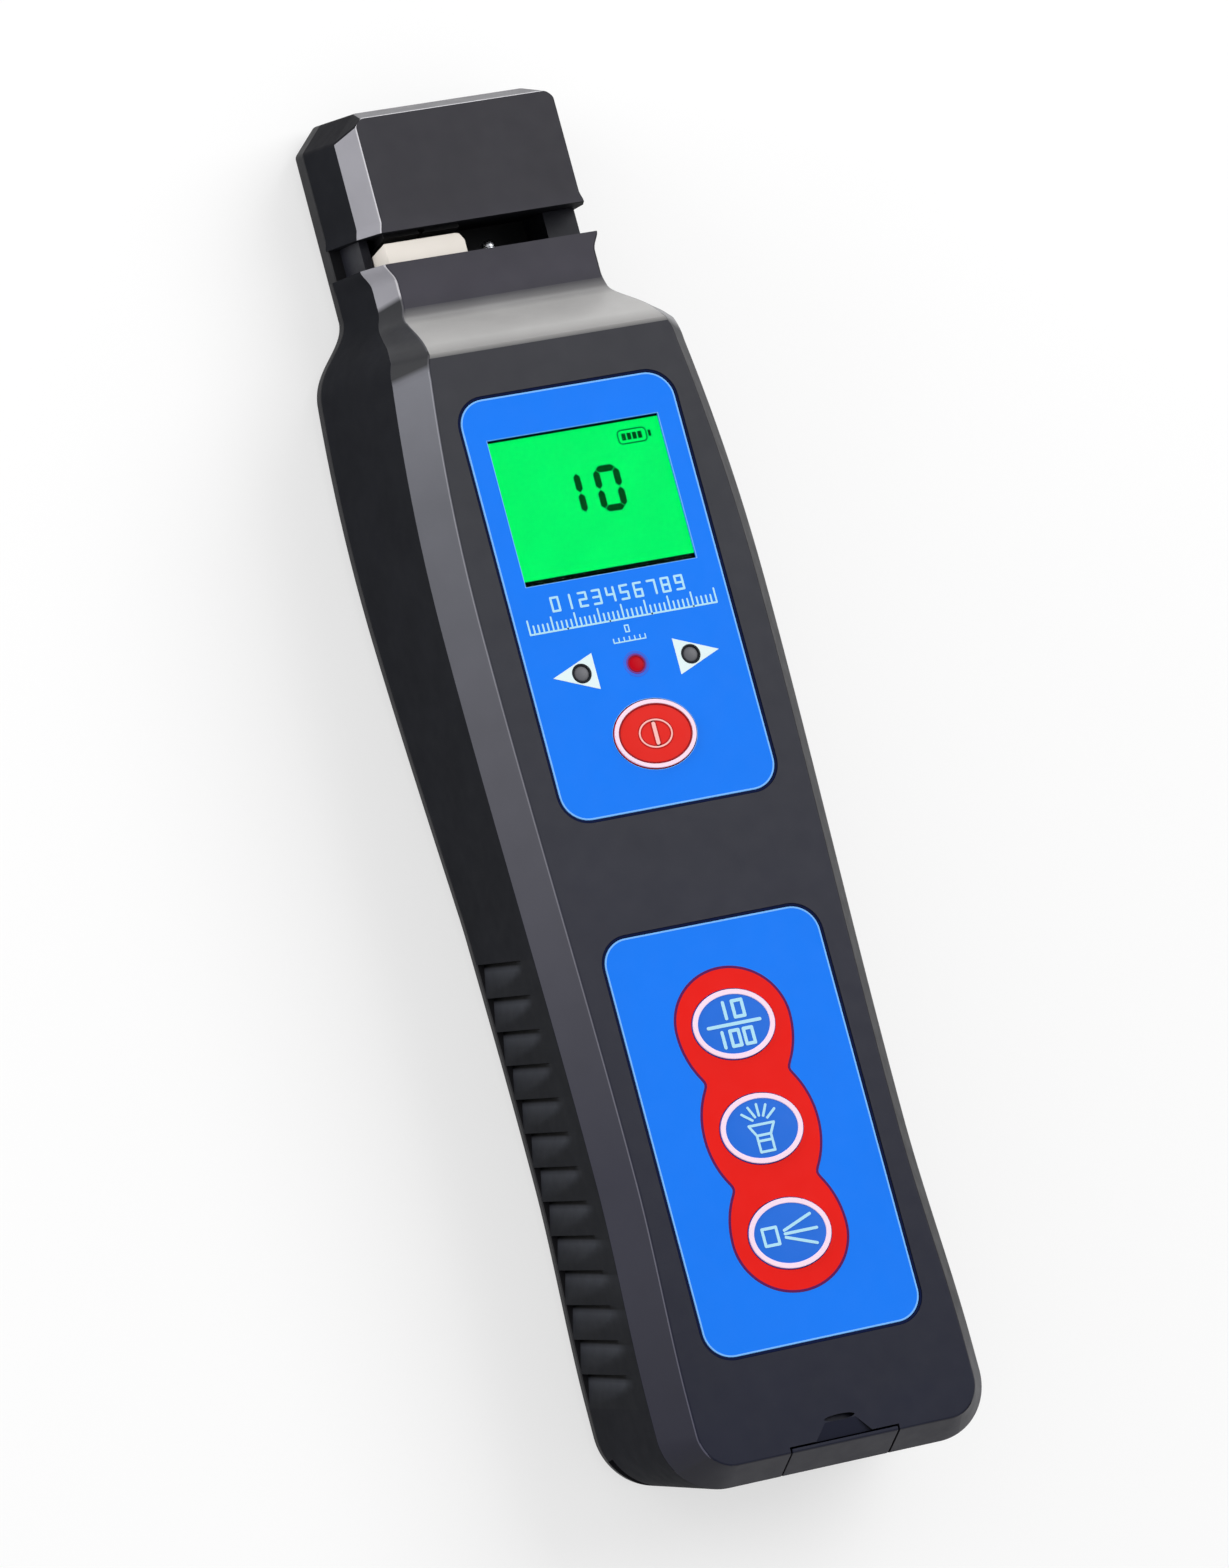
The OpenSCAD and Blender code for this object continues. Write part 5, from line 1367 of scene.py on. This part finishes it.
# A film's sloping top faces, which take the painted highlight.
def on_film_edge(normal, centre):
    return FILM_EDGE_SLOPES[0] < normal.z < FILM_EDGE_SLOPES[1] and centre.z > FILM_TOP_Z - FILM_EDGE_DEPTH


def make_film(name, node):
    done(name, soften(copied(node), FILM_ROUND, angle=40), FILM, "panel_film", replaces=[node],
         areas=[(FILM_EDGE, on_film_edge)])
    # Pale line of painted highlight just inside the film's edge.
    done(name + "_line", flat_band(film_outline(node), *FILM_LINE), FILM_EDGE)
    # Dark navy band of painted shade in the gap round the film.
    done(name + "_gap_shade", flat_band(film_outline(node), *FILM_GAP_SHADE_BAND), FILM_GAP_SHADE)


def make_key(node, material, slot, ring_width=RING_WIDTH):
    """Cap with a flange under the cover, a pale ring in its rim and a slight dome."""
    body, outline = node + "_body", key_oval(node, KEY_EASE)
    foot, shoulder = KEY_FLANGE_Z
    profile = [(KEY_FLANGE, foot), (KEY_FLANGE, shoulder), (0, shoulder)]
    profile += [(-inset, KEY_TOP_Z - drop) for inset, drop in KEY_DOME]
    done(node + "_cap", stack(outline, profile), material, slot, body, [node])
    ring = flat_band(outline, -RING_INSET - ring_width, -RING_INSET, KEY_TOP_Z - KEY_SIDE, KEY_TOP_Z)
    done(node + "_ring", ring, INK_PINK, None, body)


STROKES = {
    "a": ((0, 1), (1, 1)), "b": ((1, 1), (1, 0.5)), "c": ((1, 0.5), (1, 0)), "d": ((0, 0), (1, 0)),
    "e": ((0, 0), (0, 0.5)), "f": ((0, 0.5), (0, 1)), "g": ((0, 0.5), (1, 0.5))}
DIGITS = ("abcdef", "bc", "abged", "abgcd", "fgbc", "afgcd", "afgedc", "abc", "abcdefg", "abcdfg")
ONE_SHARE = 0.8


def strokes(digit, left, middle_y, width, height):
    """Strokes of a digit as pairs of points."""
    return [[(left + u * width, middle_y + (v - 0.5) * height) for u, v in STROKES[stroke]]
            for stroke in DIGITS[int(digit)]]


def number(text, x, y, width, height, pitch):
    """Strokes of a plain number centred on x and y."""
    paths = []
    for i, digit in enumerate(text):
        left = x + (i - (len(text) - 1) / 2) * pitch - width * (ONE_SHARE if digit == "1" else 0.5)
        paths += strokes(digit, left, y, width, height)
    return paths


def ink(name, paths, width, material=INK_PALE, top=INK_TOP_Z, body="case"):
    done(name, lines(paths, width, top - INK - INK_DEPTH, top), material, None, body)


def lobes():
    """Outline round the three lower keys, made of three overlapping ovals."""
    places = [middle(node).y for node in KEYS[1:]]
    foot, top = min(places) - LOBE_END, max(places) + LOBE_END
    right = []
    for i in range(LOBE_STEPS + 1):
        y = mix(foot, top, (1 - cos(pi * i / LOBE_STEPS)) / 2)
        half = LOBE_INNER if min(places) < y < max(places) else LOBE_END
        reach = sum(max(0.0, 1 - ((y - place) / half) ** 2) ** LOBE_POWER for place in places)
        right.append((LOBE_HALF_X * reach ** (1 / (2 * LOBE_POWER)), y))
    return right + [(-x, y) for x, y in reversed(right[1:-1])]


def make_prints():
    red = prism(lobes(), INK_LOW_Z, INK_TOP_Z)
    carve(red, *[prism(key_oval(node, KEY_GAP), *PRINT_CUT_Z) for node in KEYS[1:]])
    done("key_field", red, INK_RED)
    done("key_field_line", flat_band(lobes(), *LOBE_LINE), INK_PURPLE)
    ink("scale_numbers", number("0123456789", *SCALE_NUMBERS), SCALE_NUMBERS_LINE)
    ticks = [[(-SCALE_HALF, SCALE_Y), (SCALE_HALF, SCALE_Y)]]
    for i in range(SCALE_TICKS + 1):
        x = mix(-SCALE_HALF, SCALE_HALF, i / SCALE_TICKS)
        ticks.append([(x, SCALE_Y), (x, SCALE_Y + (SCALE_TICK if i % SCALE_GROUP else SCALE_LONG_TICK))])
    ink("scale_ticks", ticks, SCALE_LINE)
    marks = number("0", *MARK_NUMBER)
    marks += [[(x, MARK_Y), (x, MARK_Y + MARK_TICK)] for x in spaced(-MARK_HALF, MARK_HALF, MARK_PITCH)]
    ink("lamp_marks", marks + [[(-MARK_HALF, MARK_Y), (MARK_HALF, MARK_Y)]], MARK_LINE)


# Lamps in the upper film

SIDE_LAMP_RADIUS = 1.12
LAMP_FLANGE = 0.4
LAMP_FLANGE_LOW_Z = low("arrow_lamps").z
LAMP_FLANGE_TOP_Z = LAMP_FLANGE_LOW_Z + 1
LAMP_SINK = 0.2
LAMP_RISE = 0.3
LAMP_ANGLES = (0, 0.3, 0.6, 0.9, 1.2, 1.4)
ARROW_TIP = 4.3
ARROW_BASE = 2.15
ARROW_HALF = 2.65
LAMP_RING_RADIUS = 1.2
LAMP_RING_BAND = (-0.05, 0.28, FILM_TOP_Z - 0.3, FILM_TOP_Z + 0.05)
LAMP_BAND_RADIUS = 1.35
LAMP_BAND_LOW_Z = FILM_TOP_Z - 0.1
LAMP_BAND_TOP_Z = FILM_TOP_Z + 0.06
LAMP_BAND_FALL = 0.05
# Bands of the red lamp's painted glow.
# Name, material, inner and outer offset from the radius
LAMP_BANDS = [("lamp_edge", LAMP_EDGE, -0.35, -0.12), ("lamp_glow", LAMP_HALO, -0.12, 0.16),
              ("lamp_bloom", LAMP_BLOOM, 0.16, 0.6)]


def lamp(x, radius):
    """Lamp with a flange on the board and a slightly domed top."""
    profile = [(LAMP_FLANGE, LAMP_FLANGE_LOW_Z), (LAMP_FLANGE, LAMP_FLANGE_TOP_Z), (0, LAMP_FLANGE_TOP_Z)]
    profile += [(radius * (cos(angle) - 1), FILM_TOP_Z - LAMP_SINK + LAMP_RISE * sin(angle))
                for angle in LAMP_ANGLES]
    return stack(circle(x, LAMP_Y, radius), profile)


def make_lamps():
    for name, side in (("left", -1), ("right", 1)):
        x = side * LAMP_REACH
        tip, base = x + side * ARROW_TIP, x - side * ARROW_BASE
        outline = [(tip, LAMP_Y), (base, LAMP_Y - ARROW_HALF), (base, LAMP_Y + ARROW_HALF)]
        arrow = prism(outline, INK_LOW_Z, INK_TOP_Z)
        carve(arrow, prism(circle(x, LAMP_Y, LAMP_RADIUS), *PRINT_CUT_Z))
        done(name + "_arrow", arrow, INK_WHITE)
        ring = flat_band(circle(x, LAMP_Y, LAMP_RING_RADIUS), *LAMP_RING_BAND)
        done(name + "_lamp_ring", ring, LAMP_RING)
    pair = join(lamp(-LAMP_REACH, SIDE_LAMP_RADIUS), lamp(LAMP_REACH, SIDE_LAMP_RADIUS))
    done("side_lamps", pair, LAMP_GREY, "lamp_grey", replaces=["arrow_lamps"])
    done("centre_lamp", lamp(0, LAMP_RADIUS), LAMP_RED, "lamp_red", replaces=["signal_lamp"])
    # Rings of painted glow round the red lamp.
    outline = circle(0, LAMP_Y, LAMP_BAND_RADIUS)
    for name, material, inner, outer in LAMP_BANDS:
        top = LAMP_BAND_TOP_Z - LAMP_BAND_FALL * outer
        done(name, flat_band(outline, inner, outer, LAMP_BAND_LOW_Z, top), material)


# Display with its pane, two digits and a battery picture

LCD_TOP_Z = 31.12
LCD_DEPTH = 0.9
LCD_INSET = 0.2
LCD_ROUND = 0.05
LCD_INK_Z = (LCD_TOP_Z - 0.1, LCD_TOP_Z + 0.03)
PANE_LOW_Z = 31.2
PANE_INSET = 0.1
PANE_ROUND = 0.04
DIGIT_WIDTH = 3.0
DIGIT_HEIGHT = 5.8
DIGIT_Y = WINDOW_Y + 1.4
DIGIT_PLACES = (("1", -2.6), ("0", 3.4))
SEGMENT_WIDTH = 0.98
SEGMENT_GAP = 0.06
BATTERY_X = 8.7
BATTERY_Y = WINDOW_Y + 8.3
BATTERY_CELL = (0.6, 1.0)
BATTERY_START_X = BATTERY_X - 1.6
BATTERY_PITCH = 0.82
BATTERY_COUNT = 4
BATTERY_TIP = (0.4, 0.9)
BATTERY_TIP_X = BATTERY_X + 2.45
BATTERY_FRAME = (4.1, 1.8, 0.5)
BATTERY_LINE = 0.22
SHADE_BAR_HALF = WINDOW_HALF + 0.6
SHADE_BAR_Z = (LCD_INK_Z[0], LCD_INK_Z[1] + 0.01)
# Start and end in Y of the dark bars painted as the shade of the window's recess
SHADE_BARS = [(WINDOW_Y + WINDOW_HALF_LENGTH - 0.24, WINDOW_Y + WINDOW_HALF_LENGTH + 0.6),
           (WINDOW_Y - WINDOW_HALF_LENGTH - 0.4, WINDOW_Y - WINDOW_HALF_LENGTH + 0.9)]


def segment(start, end):
    """Outline of a display segment with pointed ends."""
    (ax, ay), (bx, by) = start, end
    length = hypot(bx - ax, by - ay)
    ux, uy = (bx - ax) / length, (by - ay) / length
    half, tip = SEGMENT_WIDTH / 2, length - SEGMENT_GAP
    shape = ((SEGMENT_GAP, 0), (SEGMENT_GAP + half, -half), (tip - half, -half), (tip, 0),
             (tip - half, half), (SEGMENT_GAP + half, half))
    return [(ax + ux * along - uy * aside, ay + uy * along + ux * aside) for along, aside in shape]


def inset_block(node, inset, z, top):
    lowest, highest = low(node), high(node)
    return block((lowest.x + inset, lowest.y + inset, z), (highest.x - inset, highest.y - inset, top))


def make_display():
    pane_z, pane_top = low("display_pane").z, high("display_pane").z
    face = inset_block("display_pane", LCD_INSET, pane_z - LCD_DEPTH, LCD_TOP_Z)
    done("display_face", soften(face, LCD_ROUND), LCD, "display")
    pane = inset_block("display_pane", PANE_INSET, PANE_LOW_Z, pane_top)
    done("display_cover", soften(pane, PANE_ROUND), PANE, "clear_pane", replaces=["display_pane"])
    shapes = [segment(*stroke) for digit, x in DIGIT_PLACES
              for stroke in strokes(digit, x - DIGIT_WIDTH / 2, DIGIT_Y, DIGIT_WIDTH, DIGIT_HEIGHT)]
    places = [(BATTERY_START_X + i * BATTERY_PITCH, *BATTERY_CELL) for i in range(BATTERY_COUNT)]
    places.append((BATTERY_TIP_X, *BATTERY_TIP))
    shapes += [rectangle(x, BATTERY_Y - height / 2, x + width, BATTERY_Y + height / 2)
               for x, width, height in places]
    done("display_segments", islands([(shape, *LCD_INK_Z) for shape in shapes]), INK_DARK)
    frame_band = flat_band(round_rect(BATTERY_X, BATTERY_Y, *BATTERY_FRAME), 0, BATTERY_LINE, *LCD_INK_Z)
    done("display_battery", frame_band, INK_DARK)
    # Dark bars of painted recess shade at the top and bottom of the window.
    bars = [(rectangle(-SHADE_BAR_HALF, start, SHADE_BAR_HALF, end), *SHADE_BAR_Z) for start, end in SHADE_BARS]
    done("display_recess_shade", islands(bars), LCD_RECESS_SHADE)


# Icons on the keys, as paths from the middle of a key

POWER_OVAL = (2.4, 1.97)
POWER_BAR = [[(0, -1.4), (0, 1.4)]]
POWER_RIM = (-0.92, -0.66)
POWER_SHADE = (-0.34, 0.32)
POWER_LINE = (-0.16, 0.16)
POWER_RIM_Z = (KEY_TOP_Z - 0.3, KEY_TOP_Z - 0.02)
POWER_LOW_Z = KEY_TOP_Z - 0.15
POWER_SHADE_DROP = 0.015
LEVEL_UPPER = (0, 2.05, 1.45, 2.3, 2.35)
LEVEL_LOWER = (-0.3, -2, 1.25, 2.2, 2.05)
LEVEL_BAR = [(-3.9, 0), (3.9, 0)]
LEVEL_ICON = number("10", *LEVEL_UPPER) + number("100", *LEVEL_LOWER) + [LEVEL_BAR]
RAY_ANGLES = (-0.85, -0.42, 0, 0.42, 0.85)
RAY_FOOT = 0.3
RAY_START = 1.5
RAY_END = (3.3, 3.1)
TORCH_RAYS = [[(RAY_START * sin(angle), RAY_FOOT + RAY_START * cos(angle)),
               (RAY_END[0] * sin(angle), RAY_FOOT + RAY_END[1] * cos(angle))] for angle in RAY_ANGLES]
TORCH_HEAD = [(-1.9, 0.55), (1.9, 0.55), (1.05, -0.95), (-1.05, -0.95), (-1.9, 0.55)]
TORCH_GRIP = [(1.05, -0.95), (1.05, -3.3), (-1.05, -3.3), (-1.05, -0.95)]
TORCH_BAR = [(-1.05, -1.75), (1.05, -1.75)]
BEAM_HOUSING = [(-4, -1.2), (-1.9, -1.2), (-1.9, 1.2), (-4, 1.2), (-4, -1.2)]
BEAM_START = (-0.8, 0.5)
BEAM_END = (4, 2.1)
BEAM_SHORTER = 0.5
BEAMS = [[(BEAM_START[0], side * BEAM_START[1]), (BEAM_END[0] - BEAM_SHORTER * abs(side), side * BEAM_END[1])]
         for side in (-1, 0, 1)]
# Name, key, paths, width of the lines, material and how far they lie below the key's top
ICONS = [
    ("power_bar_shade", "power_key", POWER_BAR, 0.98, INK_MAROON, POWER_SHADE_DROP),
    ("power_bar", "power_key", POWER_BAR, 0.56, INK_ROSE, 0),
    ("level_icon", "level_key", LEVEL_ICON, 0.48, INK_PALE, 0),
    ("torch_icon", "torch_key", TORCH_RAYS + [TORCH_HEAD, TORCH_GRIP, TORCH_BAR], 0.36, INK_PALE, 0),
    ("beam_icon", "beam_key", [BEAM_HOUSING] + BEAMS, 0.42, INK_PALE, 0)]


def make_icons():
    x, y, _ = middle("power_key")
    outline, ring = key_oval("power_key", KEY_EASE), oval(x, y, *POWER_OVAL)
    for name, loop, offsets, levels, material in (
            ("power_rim", outline, POWER_RIM, POWER_RIM_Z, INK_CRIMSON),
            ("power_shade", ring, POWER_SHADE, (POWER_LOW_Z, KEY_TOP_Z - POWER_SHADE_DROP), INK_MAROON),
            ("power_circle", ring, POWER_LINE, (POWER_LOW_Z, KEY_TOP_Z), INK_ROSE)):
        done(name, flat_band(loop, *offsets, *levels), material, None, "power_key_body")
    for name, node, paths, width, material, drop in ICONS:
        x, y, _ = middle(node)
        moved = [[(x + u, y + v) for u, v in path] for path in paths]
        ink(name, moved, width, material, KEY_TOP_Z - drop, node + "_body")


# Copies of solids with softened edges: name, node, material, slot, body, width of the softening

SOFTENED = [
    ("door_cover", "battery_door", SHELL_REAR, "shell_dark", "door", 0.16),
    ("thumb_pad", "thumb_trigger", BOOT, "black_plastic", "trigger", 0.2),
    ("press_block", "fibre_adapter", CREAM, "cream_plastic", "presser", 0.22),
    ("press_carriage", "carriage", BLACK, "black_plastic", "presser", 0.2),
    ("press_screw", "adapter_screw", STEEL, "steel", "presser", 0.15),
    ("anvil_block", "jaw_anvil", BLACK, "black_plastic", "case", 0.15),
    ("case_screw_heads", "case_screws", SCREW, "screw_black", "case", 0.12),
    ("rod_pair", "guide_rods", STEEL, "steel", "case", 0.2),
    ("port_sleeve", "ferrule_sleeve", STEEL, "steel", "case", 0.12),
    ("torch_front", "torch_lens", LENS, "clear_pane", "case", 0.2)]
ROD_TIP = (0.4, 0.85)
ROD_TIP_RADIUS = 0.92
ROD_TIP_ROUND = 0.3


def make_softened():
    for name, node, material, slot, body, width in SOFTENED:
        done(name, soften(copied(node), width, angle=35), material, slot, body, [node])
    end = high("guide_rods").y
    tips = [bar(x, end - ROD_TIP[0], ROD_Z, end + ROD_TIP[1], ROD_TIP_RADIUS) for x in ROD_PLACES]
    done("rod_tips", soften(join(*tips), ROD_TIP_ROUND, 3), STEEL, "steel")


# Push spring


def make_spring():
    """The push spring rides with the trigger."""
    coil = done("push_coil", copied("push_spring"), SPRING, "spring_steel", "trigger", ["push_spring"])
    length = span("push_spring").y
    anchor = tuple(low("push_spring") * MM)
    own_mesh(coil)


# Looks of the solids that are kept as they are

LOOKS = {
    "detector_board": BOARD, "ribbon_cable": RIBBON, "main_board": BOARD, "push_spring": SPRING,
    "laser_module": BRASS, "flap_pin": STEEL, "torch_lamp": LAMP_CLEAR, "battery_cells": CELL,
    "battery_springs": SPRING, "battery_contacts": SPRING, "screw_inserts": BRASS, "board_screws": STEEL}

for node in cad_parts:
    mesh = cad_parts[node].data
    mesh.materials.clear()
    mesh.materials.append(LOOKS.get(node, BLACK))

make_flap(make_front_cover())
make_rear_cover()
make_head()
make_film("upper_film", "upper_overlay")
make_film("lower_film", "lower_overlay")
make_key("power_key", KEY_RED, "key_red", POWER_RING_WIDTH)
for node in KEYS[1:]:
    make_key(node, KEY_BLUE, "key_blue")
make_prints()
make_lamps()
make_display()
make_icons()
make_softened()
make_spring()


# Floor and background. The camera, reflections and clear pieces see them white.

FLOOR_SIZE = 3000
FLOOR_TOP_Z = -0.02
FLOOR_LOW_Z = -2
FLOOR_WHITE = 0.6
FILL = 0.55


def any_view_ray(tree):
    """1 for rays of the camera, of reflections and through clear pieces."""
    rays = add_node(tree, "ShaderNodeLightPath", {})
    seen = maths(tree, "MAXIMUM", rays["Is Camera Ray"], rays["Is Glossy Ray"])
    return maths(tree, "MAXIMUM", seen, rays["Is Transmission Ray"])


def show(tree, share, first, second, output):
    """Sends a mix of two shaders to the output."""
    both = add_node(tree, "ShaderNodeMixShader", {0: share, 1: first, 2: second})
    connect(tree, tree.nodes[output], {"Surface": both["Shader"]})


scene = bpy.context.scene
scene.view_settings.view_transform = "Standard"

floor = block((-FLOOR_SIZE, -FLOOR_SIZE, FLOOR_LOW_Z), (FLOOR_SIZE, FLOOR_SIZE, FLOOR_TOP_Z))
floor.name = "floor"
paper, tree, shader = new_material("floor_paper", 0.9, 0.0)
connect(tree, shader, {"Base Color": linear((253, 253, 253))})
glow = add_node(tree, "ShaderNodeEmission", {"Color": grey(1.0), "Strength": 1.0})
share = maths(tree, "MULTIPLY", any_view_ray(tree), FLOOR_WHITE)
show(tree, share, shader.outputs["BSDF"], glow["Emission"], "Material Output")
floor.data.materials.append(paper)

world = bpy.data.worlds.new("studio")
scene.world = world
world.use_nodes = True
tree = world.node_tree
fill, white = [add_node(tree, "ShaderNodeBackground", {"Color": grey(1.0), "Strength": level})["Background"]
               for level in (FILL, 1.0)]
show(tree, any_view_ray(tree), fill, white, "World Output")


# Light and camera

# Name, place, the place it faces, size and power in watts
LIGHTS = [
    ("key_light", (930, 390, 1230), (0, 0, 0), (1050, 1050), 13.2),
    ("side_light", (-620, 320, 160), (0, -40, 15), (500, 220), 2.0),
    ("end_light", (200, 700, 110), (0, 60, 20), (500, 200), 1.2)]
CAMERA_LENS = 190.1
CAMERA_SENSOR = 36
CAMERA_REACH = 10
CAMERA_PLACE = (-428.246, -224.79, 1076.386)
CAMERA_ACROSS = (0.91454, -0.25405, 0.31476)
CAMERA_UP = (0.17115, 0.94811, 0.26794)
CAMERA_BACK = (-0.3665, -0.19117, 0.91057)

for name, place, aim, size, power in LIGHTS:
    light = bpy.data.lights.new(name, "AREA")
    light.shape = "RECTANGLE"
    light.size, light.size_y = size[0] * MM, size[1] * MM
    light.energy = power
    obj = bpy.data.objects.new(name, light)
    scene.collection.objects.link(obj)
    obj.location = Vector(place) * MM
    obj.rotation_euler = (Vector(aim) - Vector(place)).to_track_quat("-Z", "Y").to_euler()
    obj.visible_camera = False

lens = bpy.data.cameras.new("camera")
lens.sensor_fit = "VERTICAL"
lens.sensor_height = CAMERA_SENSOR
lens.lens = CAMERA_LENS
lens.clip_end = CAMERA_REACH
camera = bpy.data.objects.new("camera", lens)
scene.collection.objects.link(camera)
turn = Matrix((CAMERA_ACROSS, CAMERA_UP, CAMERA_BACK)).transposed().to_4x4()
turn.translation = Vector(CAMERA_PLACE) * MM
camera.matrix_world = turn
scene.camera = camera
